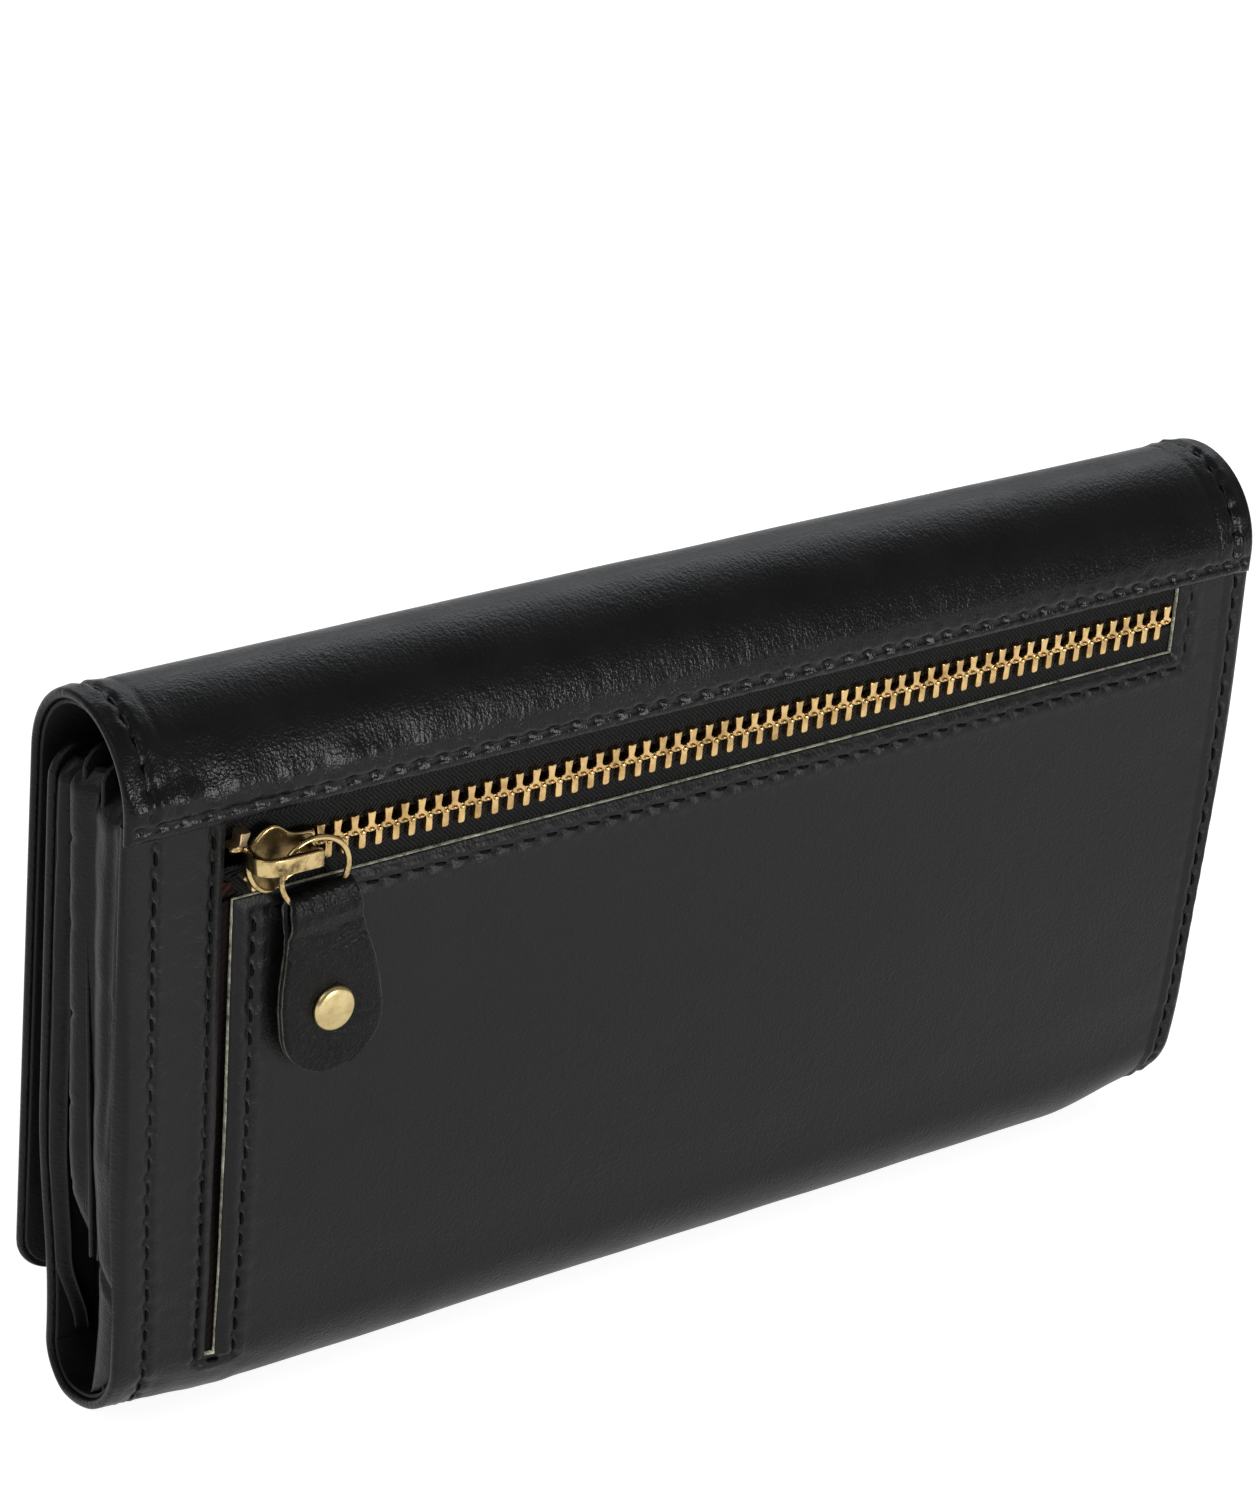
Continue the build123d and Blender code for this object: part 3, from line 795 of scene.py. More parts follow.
def plain_sheet(name, path, span, thick, material, body, slot, *nodes, relief, step=3.0, corner_r=0, edge=0.3):
    """A sheet with one finish that rides on one body, and from the low to the high end of span across."""
    xs = grid_lines(*span, step, [], edge)
    ss = grid_lines(0, path.length, step, [], edge)
    corner = None
    if corner_r:
        ss = np.unique(np.concatenate([ss, corner_lines(path.length, corner_r)]))
        corner = rounded_top(corner_r, path.length, span[1])
    obj = sheet(name, path, xs, ss, thick, [material], relief, edge=edge, corner=corner)
    attach(obj, body, slot, *nodes)


def build_linings():
    half = HALF - 0.75
    inner_half = HALF - 2.7
    back = Path([("arc", CROWN_Y, CROWN_Z, CROWN_R - LEATHER, 172, 180),
                 ("line", (CROWN_Y - CROWN_R + LEATHER, CROWN_Z), (4.9, 95.6)),
                 ("line", (4.9, 95.6), (4.9, 7.0))], 1)
    plain_sheet("back_lining_sheet", back, (-inner_half, inner_half), LINING, LINER, "purse_body",
                "leather_lining", "back_lining", relief=lining_relief(41))
    front = straight(FRONT_Y - LEATHER, FRONT_R, FRONT_Y - LEATHER, FRONT_TOP - 1.5, 1)
    front.warp = settle
    plain_sheet("front_lining_sheet", front, (-half, half), LINING, LINER, "front_panel", "leather_lining",
                "front_lining", relief=lining_relief(43), corner_r=4.0)
    bottom = Path([("arc", BACK_R, BACK_R, BACK_R - LEATHER, 190, 270),
                   ("arc", BACK_R, FRONT_R, FRONT_R - LEATHER, 270, 362)], 1)
    bottom.warp = settle
    obj = sheet("bottom_lining_sheet", bottom, grid_lines(-half, half, 3, [], 0.3),
                grid_lines(0, bottom.length, 0.8, [], 0.3), LINING, [LINER], lining_relief(45), edge=0.3)
    attach(obj, BEND_FRONT, "leather_lining", "bottom_lining")


# Card panel, pockets, note divider, gussets

FOOT_Z = 28.0
CARD_FOOT_Y = 7.4
CARD_SLANT = math.radians(4.6)
NOTE_FOOT_Y = 6.2
NOTE_SLANT = math.radians(2.2)
DIVIDER_T = 0.8
POCKET_T = 0.5
POCKET_TOPS = (38.5, 51.0, 65.0)


def leaning_path(foot_y, slant, low, high, out):
    """The front face of a leaning sheet, from low to high along it."""
    def place(v):
        return (foot_y + v * math.sin(slant) + out * math.cos(slant), FOOT_Z + v * math.cos(slant))
    return straight(*place(low), *place(high), 1)


def build_dividers():
    card = leaning_path(CARD_FOOT_Y, CARD_SLANT, 0, 75.0, DIVIDER_T)
    plain_sheet("card_panel_leather", card, (-93.5, 93.5), DIVIDER_T, BLACK, "card_divider", "leather",
                "card_panel", relief=lining_relief(51), corner_r=4.0, edge=0.35)
    for row, top in enumerate(POCKET_TOPS):
        number = row + 1
        out = DIVIDER_T + (len(POCKET_TOPS) - row) * POCKET_T
        path = leaning_path(CARD_FOOT_Y, CARD_SLANT, 6.0, top, out)
        runs = [("x", -90.0, 90.0, path.length - 1.6), ("s", 1.0, path.length - 1, -0.2)]

        def relief(x, s):
            swell = 0.25 * bell(np.abs(x) - 47, 30) * bell(s - 20, 22) * 0.3
            rough = 0.04 * wander(x, s, 10, 8, 60 + row)
            return 0.10 * stitch_relief(x, s, runs) + rough + 0.12 * bell(x, 0.5) - swell
        plain_sheet(f"card_pocket_{number}_leather", path, (-93.4, 93.4), POCKET_T, BLACK, "card_divider",
                    "leather", f"card_pocket_{number}", relief=relief, step=2.0, edge=0.22)
        stitches(f"pocket_stitches_{number}", path, "card_divider", runs[:1], depth=0.02, radius=0.16,
                 seed=70 + row)
    note = leaning_path(NOTE_FOOT_Y, NOTE_SLANT, 0, 74.0, DIVIDER_T)
    plain_sheet("note_divider_leather", note, (-93, 93), DIVIDER_T, BLACK, "note_divider", "leather",
                "note_divider", relief=lining_relief(55), corner_r=3.0, edge=0.35)


def ribbon(name, side, levels, around, thick, row, bodies, *nodes):
    """A closed upright strip at one end. row(z, t) gives its x and y at height z, as t goes from 0 to 1."""
    t = np.linspace(0, 1, around)
    layers = ([], [])
    uv = []
    for z in levels:
        x, y = row(z, t)
        for layer, inner in zip(layers, (0.0, thick)):
            layer += [(side * (a - inner), b, z) for a, b in zip(x, y)]
        uv += [(b, z) for b in y]
    faces, _ = slab_faces(len(levels), around)
    obj = make_mesh(name, settle(np.array(layers[0] + layers[1])), faces, [GUSSET], np.array(uv * 2))
    attach(obj, bodies, "leather", *nodes)


SIDE_NAMES = {-1: "left", 1: "right"}
BEND_GUSSET = ("purse_body", "card_divider", spot(0, 2.0, 80), spot(0, 11.5, 80))
BACK_INNER = 1.65     # y of the inner face of the back, where the end wall starts


def gusset(side):
    """One end wall: soft leather that pillows outward between the back and the card panel."""
    def row(z, t):
        rear = BACK_INNER
        if z < BACK_R:
            reach = math.sqrt(max(0.0, (BACK_R - 2.1) ** 2 - (BACK_R - z) ** 2))
            rear = max(BACK_INNER, BACK_R - reach - 0.45)
        card = CARD_FOOT_Y - 0.25 + 0.05 * max(0.0, z - FOOT_Z) + 1.2 * (1 - ease(z / FOOT_Z))
        y = rear + (card - rear) * t
        puff = (1 - np.abs(2 * t - 1) ** 2.4) * (1.15 + 0.25 * wander(z, 0, 9, 9, 121))
        lean = 1.1 * t - 0.9
        tuck = 3.2 * (1 - ease((99.5 - z) / 5.0))
        crease = 0.45 * bell(t - 0.42 - 0.05 * wander(z, 3, 14, 9, 122), 0.09) * ease((z - 40) / 25)
        fold = 0.9 * bell(z - 28.5 + 7.0 * (1 - t), 0.9) * ease((t + 0.1) / 0.3)
        rough = 0.10 * wander(np.full(len(t), z), y, 2.6, 2.6, 123)
        return 93.0 + puff + lean - tuck - crease - fold + rough, y

    name = SIDE_NAMES[side]
    ribbon(f"gusset_{name}", side, np.linspace(3.2, 98.5, 96), 33, 0.5, row, BEND_GUSSET,
           f"gusset_rear_{name}", f"gusset_front_{name}")


def side_fold(side, body, deep, shallow, low, high, seed, nicked=0.0):
    """A fold along one end of a panel. deep and shallow give y at its bottom and top, outside and inside."""
    def row(z, t):
        rise = (z - low) / (high - low)
        front = deep[0] + (deep[1] - deep[0]) * rise
        rear = shallow[0] + (shallow[1] - shallow[0]) * rise
        y = front + (rear - front) * t + 0.12 * wander(z, 1, 7, 7, seed)
        round_off = 0.5 * (1 - ease(t / 0.16)) + 1.9 * ease((t - 0.22) / 0.78) ** 1.3
        tuck = 2.6 * (1 - ease((high + 0.6 - z) / 3.5)) + 3.0 * (1 - ease((z - low) / 14.0))
        nick = nicked * bell(np.mod(z - 5.0, 13.0) - 6.5, 0.4) * (1 - ease(t / 0.7))
        rough = 0.08 * wander(np.full(len(t), z), y, 2.4, 2.4, seed + 1)
        return 94.5 - round_off - tuck - nick + rough, y

    name = f"side_fold_{SIDE_NAMES[side]}_{body}"
    ribbon(name, side, np.linspace(low, high, 80), 21, 0.45, row, body)


def inner_wall(side):
    """The deep part of an end fold, which closes the front compartment behind the side folds."""
    high = FRONT_TOP - 5.0

    def row(z, t):
        rear = CARD_FOOT_Y + max(0.0, z - FOOT_Z) * math.sin(CARD_SLANT) + 1.0
        y = rear + (FRONT_Y - LEATHER - LINING - 0.4 - rear) * t
        tuck = 2.0 * (1 - ease((high + 0.5 - z) / 4.0))
        return 88.4 - 1.2 * (1 - (2 * t - 1) ** 2) - tuck + 0.1 * wander(z, y, 5, 5, 151), y

    name = f"inner_wall_{SIDE_NAMES[side]}"
    ribbon(name, side, np.linspace(14.0, high, 60), 13, 0.45, row, "card_divider")


def build_ends():
    for side in (-1, 1):
        gusset(side)
    for side in (-1, 1):
        inner_wall(side)
        side_fold(side, "card_divider", (12.0, 15.6), (8.0, 11.0), 24.5, FRONT_TOP - 0.6, 131, nicked=0.45)
        side_fold(side, "front_panel", (18.4, 18.4), (17.2, 15.9), 8.0, FRONT_TOP - 1.2, 141)


# Zip

def build_tapes():
    for name, low, high, anchor in (("upper", CHAIN_Z + 0.9, 96.6, 96.2), ("lower", 81.6, CHAIN_Z - 0.9, 81.8)):
        path = straight(1.42, high, 1.42, low, 1)
        path.skew = lambda x, s: chain_rise(x)
        xs = grid_lines(-83.8, 85.8, 0.8, [], 0.15)
        ss = grid_lines(0, path.length, 0.35, [], 0.15)
        inner = path.length if name == "upper" else 0.0

        def relief(x, s):
            cord = -0.30 * bell(s - inner, 0.75) + 1.9 * ease((-76.2 - x) / 2.4)
            notches = 0.03 * np.sin(2 * np.pi * x / PITCH) * bell(s - inner, 1.6)
            return cord + 0.05 * wander(x, s, 7, 3, 81) + notches
        obj = sheet(f"tape_{name}", path, xs, ss, 0.42, [TAPE], relief, edge=0.15)
        attach(obj, "purse_body", "tape", f"zip_tape_{name}")
        spot(0, 1.6, anchor)
        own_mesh(obj)


UPPER_TOOTH = [(0.0, 2.55), (0.56, 2.64), (0.68, 2.50), (0.64, 2.1), (0.50, 1.05), (0.54, 0.72), (1.00, 0.46),
               (1.18, 0.12), (0.95, -0.14), (0.45, -0.36), (0.0, -0.40)]
LOWER_TOOTH = [(0.0, 2.68), (0.40, 2.64), (0.57, 2.42), (0.57, 1.5), (0.52, 0.85), (0.60, 0.30), (0.62, -0.12),
               (0.42, -0.38), (0.0, -0.44)]
TOOTH_HALF_DEPTH = 1.28


def tooth_mesh(half, nub):
    """One tooth round the origin: foot at +v, meshing head near v = 0, and a nub on each face of its head.

    nub is a nub's half width, its half height and its middle. The points come as (u, y, v).
    """
    outline = half + [(-u, v) for u, v in reversed(half[1:-1])]
    centre = 1.2
    levels = ((-TOOTH_HALF_DEPTH, 0.82), (-1.14, 0.98), (1.14, 0.98), (TOOTH_HALF_DEPTH, 0.82))
    rings = [[(u * shrink, y, centre + (v - centre) * (1 - (1 - shrink) * 0.35)) for u, v in outline]
             for y, shrink in levels]
    points, faces = capped_rings(rings)
    width, height, middle = nub
    turns = np.linspace(0, 2 * math.pi, 10, endpoint=False)
    for side in (-1, 1):
        base = side * (TOOTH_HALF_DEPTH - 0.08)
        rings = [[(width * scale * math.cos(a), base + side * rise, middle + height * scale * math.sin(a))
                  for a in turns] for scale, rise in ((1.0, 0.0), (0.9, 0.26), (0.55, 0.44))]
        dome, dome_faces = capped_rings(rings)
        faces += moved(dome_faces, len(points))
        points += dome
    return np.array(points), faces


def moved(faces, base):
    return [tuple(base + k for k in face) for face in faces]


def build_teeth():
    shapes = ((1, "upper", UPPER_TOOTH, (0.50, 0.26, 0.08)), (-1, "lower", LOWER_TOOTH, (0.46, 0.40, 0.14)))
    for side, name, outline, nub in shapes:
        source, source_faces = tooth_mesh(outline, nub)
        rng = np.random.default_rng(90 + side)
        points, faces = [], []
        shift = 0 if side > 0 else PITCH / 2
        for i in range(TEETH):
            x = LAST_TOOTH - i * PITCH - shift
            copy = source.copy()
            tilt = rng.normal(0, 0.02)
            copy[:, 0] += copy[:, 2] * tilt + rng.normal(0, 0.03)
            copy[:, 1] += rng.normal(0, 0.03)
            faces += moved(source_faces, len(points))
            points += [(x + u, TEETH_Y + y, chain_z(x) + side * v) for u, y, v in copy]
        obj = make_mesh(f"teeth_{name}", points, faces, [TOOTH], smooth=False)
        bevel_edges(obj, 0.07, 1, math.radians(28))
        attach(obj, "purse_body", "teeth", f"zip_teeth_{name}")
        spot(0, 1.6, CHAIN_Z + side * 12.0)
        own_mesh(obj)


def build_stops():
    """The two clips past the last teeth, where the rows part in front of the slider."""
    source, source_faces = tooth_mesh(UPPER_TOOTH, (0.40, 0.26, 0.10))
    points, faces = [], []
    for side, x, z in ((1, -77.35, 2.15), (-1, -75.3, 2.3)):
        faces += moved(source_faces, len(points))
        for u, y, v in source:
            lean = 0.20 * v - 0.35 * (v < 0.6)
            points.append((x + 1.08 * u + lean, TEETH_Y - 0.45 + 0.9 * y, chain_z(-77) + side * (z + 0.88 * v)))
    # The clips take the brass whose paleness is a painted highlight.
    obj = make_mesh("top_stop_clips", points, faces, [LIT_BRASS], smooth=False)
    attach(obj, "purse_body", "teeth", "zip_top_stops")


# Slider

SLIDER_X = -71.4
STRAP_Z = 89.7
WING_OUTLINE = [(-5.9, 0.0), (-5.55, 1.9), (-4.6, 3.7), (-3.2, 4.9), (-1.7, 5.25), (-0.6, 4.55), (0.4, 3.6),
                (1.6, 3.15), (3.0, 3.05), (4.2, 3.1), (4.55, 2.9), (4.6, 2.0)]


def smooth_outline(half, count):
    """Half an outline and its mirror image in v, as a closed smooth line of count points a side."""
    p = np.array(half, float)
    run = np.concatenate([[0], np.cumsum(np.hypot(*np.diff(p, axis=0).T))])
    t = np.linspace(0, run[-1], count)
    u = np.interp(t, run, p[:, 0])
    v = np.interp(t, run, p[:, 1])
    for _ in range(3):
        u[1:-1] = (u[:-2] + 2 * u[1:-1] + u[2:]) / 4
        v[1:-1] = (v[:-2] + 2 * v[1:-1] + v[2:]) / 4
    line = list(zip(u, v))
    return line + [(a, -b) for a, b in reversed(line[1:])]


def plate(name, y_rim, toward):
    """One wing of the slider: a rounded head and a waist, with a raised rim. toward is the way it faces."""
    outline = smooth_outline(WING_OUTLINE, 40)
    rims = [(0.99, 0.95), (1.0, 0.60), (0.99, 0.28), (0.965, 0.08), (0.93, 0.0), (0.90, 0.02), (0.87, 0.09),
            (0.83, 0.15), (0.60, 0.10), (0.35, 0.05), (0.12, 0.04)]
    z_mid = chain_z(SLIDER_X) + 0.1
    points, faces = capped_rings([[(SLIDER_X + u * scale, y_rim - toward * sink, z_mid + v * scale)
                                   for u, v in outline] for scale, sink in rims])
    worn = [int(2 <= r <= 4) for r in range(len(rims) - 1) for _ in outline]
    return make_mesh(name, points, faces, [ANTIQUE, WORN], None, worn + [0, 0])


def band(name, places, half_width, thick, material):
    """A bent metal bar whose middle line is places in X and Y, at height STRAP_Z, with rounded edges."""
    centre = np.array(places, float)
    t = np.gradient(centre, axis=0)
    t /= np.linalg.norm(t, axis=1)[:, None]
    quarter = [(1.0, 0.55), (0.985, 0.78), (0.93, 0.93), (0.84, 1.0)]
    profile = quarter + [(-w, h) for w, h in reversed(quarter)]
    profile += [(-w, -h) for w, h in quarter] + [(w, -h) for w, h in reversed(quarter)]
    rings = [[(x + ty * h * thick / 2, y - tx * h * thick / 2, STRAP_Z + w * half_width) for w, h in profile]
             for (x, y), (tx, ty) in zip(centre, t)]
    return make_mesh(name, *capped_rings(rings), [material])


def slider_block(name, low, high, taper, material):
    """A small bevelled bar from its low to its high corner, narrower in z at its right end."""
    corners = [(x, y, z) for x in (low[0], high[0]) for y in (low[1], high[1]) for z in (low[2], high[2])]
    middle = (low[2] + high[2]) / 2
    corners = [(x, y, z if x == low[0] else middle + (z - middle) * taper) for x, y, z in corners]
    faces = [(0, 1, 3, 2), (4, 6, 7, 5), (0, 4, 5, 1), (2, 3, 7, 6), (0, 2, 6, 4), (1, 5, 7, 3)]
    obj = make_mesh(name, corners, faces, [material])
    bevel_edges(obj, 0.16, 3)
    return obj


def build_slider():
    top = plate("slider_top", -1.05, -1)
    bottom = plate("slider_bottom", 4.15, 1)
    strap_line = [(-77.0, -0.5), (-77.05, -1.4), (-77.1, -2.4), (-77.05, -3.2), (-76.8, -3.9), (-76.3, -4.4),
                  (-75.6, -4.72), (-74.9, -4.92), (-74.4, -5.0), (-73.6, -5.02), (-72.0, -5.02), (-70.2, -5.02),
                  (-68.9, -5.02), (-68.3, -5.02)]
    strap = band("slider_strap", strap_line, 1.25, 1.0, WORN)
    z = chain_z(SLIDER_X)
    leg = slider_block("slider_leg", (-69.2, -4.8, STRAP_Z - 1.0), (-68.3, -0.5, STRAP_Z + 0.8), 1.0, ANTIQUE)
    wedge = slider_block("slider_wedge", (-75.8, -0.4, z - 0.7), (-73.2, 3.5, z + 0.7), 0.3, ANTIQUE)
    pieces = [bottom, strap, leg, wedge]
    for tag, low, high in (("low", z - 3.05, z - 2.5), ("up", z + 2.5, z + 3.05)):
        for level, y0, y1 in (("top", -0.6, 0.8), ("bottom", 2.4, 3.8)):
            pieces.append(slider_block(f"slider_rim_{level}_{tag}", (-70.6, y0, low), (-66.9, y1, high), 1.0,
                                       ANTIQUE))
    for obj in (top, bottom):
        smooth = obj.modifiers.new("smooth", "SUBSURF")
        smooth.levels = smooth.render_levels = 1
    attach(top, "zip_slider", "slider", "slider_body")
    for obj in pieces:
        attach(obj, "zip_slider", "slider")


# Ring, pull tab and rivet

RING = (-67.87, -2.8, 86.26)
RING_R = 5.08
WIRE_R = 0.45
TAB_FOLD = (-66.9, 83.5)
TAB_TILT = math.radians(7.8)
RIVET_V = 18.3
TAB_END_V = 20.6
TAB_END_R = 7.7
TAB_SIDES = ((0.0, 5.1), (4.0, 5.45), (8.5, 6.15), (13.0, 7.15), (16.5, 7.6), (TAB_END_V, TAB_END_R))
BEND_TAB = ("pull_ring", "pull_tab", spot(-66, -2.8, 80.4), spot(-66, -2.8, 77.6))


def build_ring():
    around, sides = 72, 14
    points = []
    for i in range(around):
        a = 2 * math.pi * i / around
        r = RING_R + 0.03 * math.sin(3 * a + 0.4)
        for k in range(sides):
            b = 2 * math.pi * k / sides
            reach = r + WIRE_R * math.cos(b)
            points.append((RING[0] + reach * math.cos(a), RING[1] + WIRE_R * math.sin(b),
                           RING[2] + reach * math.sin(a)))
    obj = make_mesh("pull_ring_wire", points, tube_faces(around, sides, joined=True), [WORN])
    attach(obj, "pull_ring", "slider", "pull_ring")


def tab_point(u, v):
    """A place on the pull: u across it to the right, v down its tilted middle line from the fold."""
    return (TAB_FOLD[0] + u * math.cos(TAB_TILT) + v * math.sin(TAB_TILT),
            TAB_FOLD[1] + u * math.sin(TAB_TILT) - v * math.cos(TAB_TILT))


def tab_half_width(v):
    """Half the pull's width at v below the fold."""
    if v > TAB_END_V:
        return math.sqrt(max(0.0, TAB_END_R ** 2 - (v - TAB_END_V) ** 2))
    places, halves = zip(*TAB_SIDES)
    return float(np.interp(v, places, halves))


def tab_rows():
    """(v, y, half width) down the middle line: up the front leaf, over the ring, down the back leaf."""
    end_v = TAB_END_V + TAB_END_R
    front_y, back_y = -3.76, -1.80
    down = [end_v - TAB_END_R * (1 - math.cos(math.radians(a))) for a in range(0, 91, 5)]
    leaf_v = down + list(np.linspace(TAB_END_V, 1.3, 44))[1:]

    def leaf_y(v, y):
        front = y < -2.9
        joined = -2.9 + (-0.47 if front else 0.47)
        lean = -0.55 * ease((v - 0.8) / 3.4) if front else 0.0
        return float(y + lean + (joined - y - lean) * ease((v - 2.9) / 3.4))

    rows = [(v, leaf_y(v, front_y), tab_half_width(v)) for v in leaf_v]
    middle, radius = (front_y + back_y) / 2, (back_y - front_y) / 2
    for a in range(15, 180, 15):
        turn = math.radians(a)
        rows.append((1.3 - 1.35 * math.sin(turn), middle - radius * math.cos(turn), 5.1 - 0.2 * math.sin(turn)))
    rows += [(v, leaf_y(v, back_y), tab_half_width(v)) for v in reversed(leaf_v)]
    return rows


def tab_outer_relief(u, v, run):
    """Creases across the bent leather under the fold, pebbles, and stretch marks round the rivet."""
    bow = v + 0.035 * u * u
    crease = 0.38 * bell(bow - 6.6, 0.32) + 0.32 * bell(bow - 7.9 + 0.1 * u, 0.28)
    crease = crease + 0.28 * bell(bow - 9.4, 0.32) - 0.30 * bell(v - 2.3 + 0.02 * u * u, 0.7)
    crease = crease * (0.7 + 0.5 * wander(u, run, 2.0, 3.0, 103))
    lump = 0.13 * wander(u, run, 0.7, 3.0, 101) * bell(v - 2.6, 1.5) + 0.07 * wander(u, run, 4, 4, 102)
    lump = lump + 0.05 * wander(u, run, 1.3, 1.0, 105) * bell(v - 9, 4)
    return crease + lump + 0.22 * bell(np.hypot(u, v - RIVET_V) - 3.5, 0.9)


def build_tab():
    """The folded strip, a closed leather sheet with layered edges."""
    thick = 0.92
    end_v = TAB_END_V + TAB_END_R
    rows = tab_rows()
    across = 41
    u_steps = np.linspace(-1, 1, across)
    u_eased = np.sign(u_steps) * (1 - (1 - np.abs(u_steps)) ** 1.6)
    places = np.array([(v, y) for v, y, _ in rows])
    tangent = np.gradient(places, axis=0)
    tangent /= np.maximum(1e-9, np.linalg.norm(tangent, axis=1))[:, None]
    s = np.concatenate([[0], np.cumsum(np.hypot(*np.diff(places, axis=0).T))])
    points, uv = [], []
    for layer in (-1, 1):
        for (v, y, half), (tv, ty), run in zip(rows, tangent, s):
            nv, ny = -ty, tv
            u = u_eased * max(half, 0.3)
            near = np.minimum(half - np.abs(u), end_v - v)
            drop = 0.30 * (1 - ease(near / 0.5)) + 0.03 * wander(u, run, 0.8, 0.8, 104)
            off = layer * (thick / 2 - drop)
            if layer > 0:
                off = off - tab_outer_relief(u, v, run)
            cup = 0.12 * (u / 7.5) ** 2 * ease(np.array((v - 8) / 10))
            x, z = tab_point(u, v + nv * off)
            points += list(zip(x, y + ny * off + cup, z))
            uv += list(zip(u, np.full(across, run)))
    faces, kinds = slab_faces(len(rows), across)
    obj = make_mesh("pull_leather", points, faces, [PULL, FRAYED], np.array(uv), kinds)
    attach(obj, BEND_TAB, "leather", "pull_tab_loop", "pull_tab")


def lathe(name, profile, centre, material, steps=48, tall=1.0):
    """A turned piece about Y: profile is (radius, y) from the middle outwards."""
    x0, z0 = centre
    turns = [2 * math.pi * k / steps for k in range(steps)]
    points = [(x0, profile[0][1], z0)]
    points += [(x0 + r * math.cos(a), y, z0 + tall * r * math.sin(a)) for r, y in profile[1:] for a in turns]
    faces = [(0, 1 + k, 1 + (k + 1) % steps) for k in range(steps)]
    faces += tube_faces(len(profile) - 1, steps, 1) + [tuple(range(len(points) - steps, len(points)))]
    return make_mesh(name, points, faces, [material])


def build_rivet():
    cap = [(0, -4.72), (1.2, -4.70), (2.1, -4.63), (2.7, -4.53), (2.85, -4.44), (2.95, -4.28), (3.05, -4.18),
           (3.12, -3.9), (3.1, -3.55), (1.0, -3.4), (1.0, -3.0)]
    back = [(0, -1.22), (2.2, -1.22), (2.75, -1.30), (3.0, -1.5), (3.0, -1.85), (2.8, -2.0), (1.0, -2.0),
            (1.0, -2.6)]
    for name, profile, node in (("rivet_dome", cap, "rivet_cap"), ("rivet_foot", back, "rivet_post")):
        obj = lathe(name, profile, tab_point(0, RIVET_V), SATIN, tall=1.08)
        attach(obj, "pull_tab", "rivet", node)


# Cloth inside the back, and the small metal that keeps its CAD shape

def build_cloth():
    def crumple(seed, depth):
        def relief(x, s):
            return depth * wander(x, s, 13, 10, seed) + 0.5 * depth * wander(x, s, 6, 7, seed + 1)
        return relief

    front = straight(2.35, 84.6, 2.35, 19.0, 1)
    back = straight(4.42, 96.5, 4.42, 19.0, 1)
    slip = straight(1.5, 82.4, 1.5, 9.0, 1)
    plain_sheet("zip_bag_front", front, (-84, 86), 0.22, RUST, "purse_body", "cloth", "zip_pocket_bag",
                edge=0.1, relief=crumple(111, 0.12))
    plain_sheet("zip_bag_back", back, (-84, 86), 0.22, RUST, "purse_body", "cloth", edge=0.1,
                relief=crumple(113, 0.08))
    # The slip pocket cloth is the rust lining darkened with painted shade.
    plain_sheet("slip_pocket_cloth", slip, (-92, -40), 0.25, SHADED_RUST, "purse_body", "cloth",
                "slip_pocket_lining", step=1.2, edge=0.1, relief=lambda x, s: 0.06 * wander(x, s, 3, 12, 115))


def dress_small_metal():
    for node, material in (("zip_bottom_stop", ANTIQUE), ("flap_magnet", STEEL), ("clasp_plate", STEEL)):
        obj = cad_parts[node]
        obj.data.materials.clear()
        obj.data.materials.append(material)
        bevel_edges(obj, 0.18, 2, math.radians(30))


# Stage, light and camera

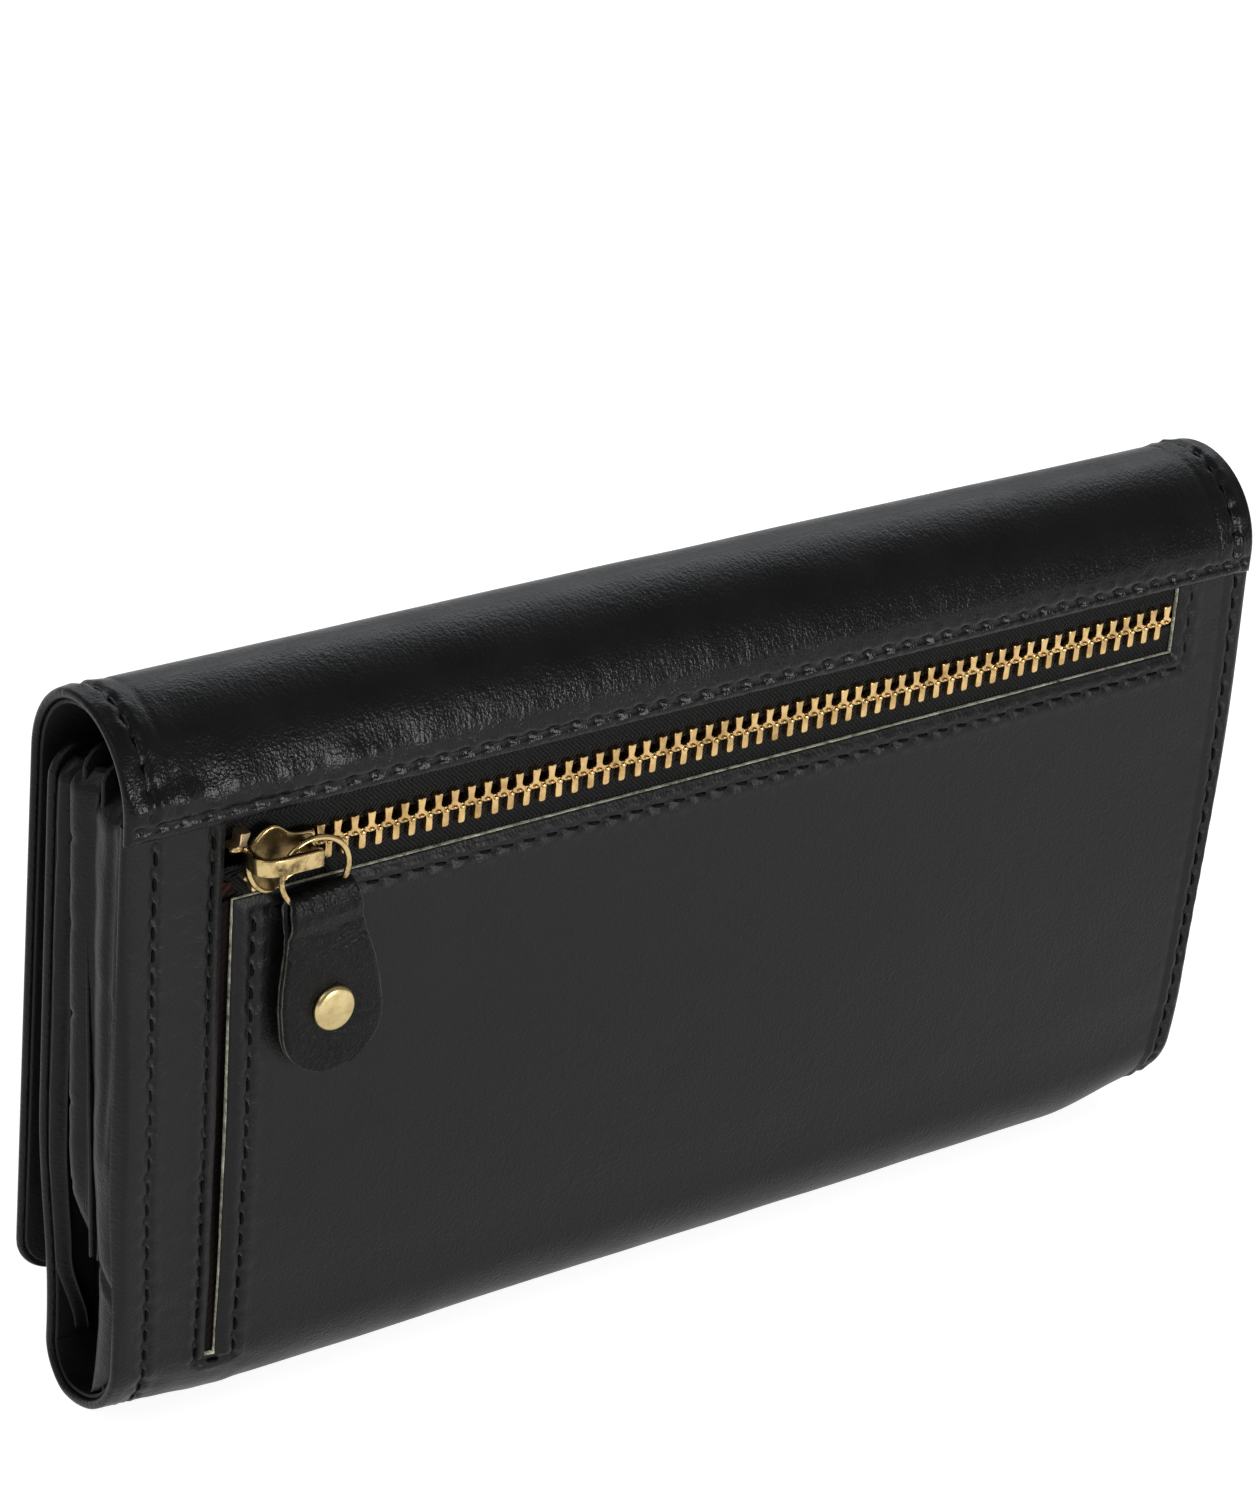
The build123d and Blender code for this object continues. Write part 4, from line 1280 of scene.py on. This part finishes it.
def build_stage():
    size = 6.0
    mesh = bpy.data.meshes.new("floor")
    corners = [(-size, -size, 0), (size, -size, 0), (size, size, 0), (-size, size, 0)]
    mesh.from_pydata(corners, [], [(0, 1, 2, 3)])
    look = Look("pale_floor")
    mesh.materials.append(look.done({"Base Color": (0.55, 0.55, 0.55, 1), "Roughness": 0.9,
                                     "Specular IOR Level": 0.0, "Emission Color": (1, 1, 1, 1),
                                     "Emission Strength": 0.82}))
    floor = bpy.data.objects.new("floor", mesh)
    bpy.context.collection.objects.link(floor)
    world = bpy.data.worlds.new("studio")
    world.use_nodes = True
    background = world.node_tree.nodes["Background"]
    background.inputs["Color"].default_value = (1, 1, 1, 1)
    background.inputs["Strength"].default_value = 0.34
    bpy.context.scene.world = world
    bpy.context.scene.view_settings.view_transform = "Standard"


def area_light(name, where, target, size, power, colour=(1, 1, 1)):
    data = bpy.data.lights.new(name, "AREA")
    data.shape = "RECTANGLE"
    data.size, data.size_y = size
    data.energy = power
    data.color = colour
    lamp = bpy.data.objects.new(name, data)
    lamp.location = where
    direction = Vector(target) - Vector(where)
    lamp.rotation_euler = direction.to_track_quat("-Z", "Y").to_euler()
    bpy.context.collection.objects.link(lamp)


def build_lights():
    area_light("front_right_low", (0.10, -0.80, 0.24), (-0.09, 0, 0.09), (0.20, 0.30), 4.4)
    area_light("back_right_high", (0.45, 0.62, 0.58), (0, 0, 0.09), (0.9, 0.35), 2.6, (0.88, 0.93, 1.0))
    area_light("left_high", (-0.75, -0.15, 0.7), (0, 0, 0.09), (0.5, 0.5), 1.6)


def build_camera():
    """The fitted view: position, and the directions to the right and up in the picture."""
    data = bpy.data.cameras.new("camera")
    data.lens = 110.0
    data.sensor_width = 36.0
    data.clip_start = 0.01
    camera = bpy.data.objects.new("camera", data)
    right = Vector((0.8188, -0.5686, 0.0804)).normalized()
    up = Vector((0.2049, 0.4201, 0.8841))
    up = (up - right * up.dot(right)).normalized()
    back = right.cross(up)
    turn = Matrix((right, up, back)).transposed().to_4x4()
    camera.matrix_world = Matrix.Translation(Vector(spot(-350.5, -440.2, 377.5))) @ turn
    bpy.context.collection.objects.link(camera)
    bpy.context.scene.camera = camera


def main():
    for build in (build_camera, build_stage, build_lights, build_shell, build_flap, build_flap_lining,
                  build_linings, build_dividers, build_ends, build_tapes, build_teeth, build_stops,
                  build_slider, build_ring, build_tab, build_rivet, build_cloth, dress_small_metal):
        build()


main()
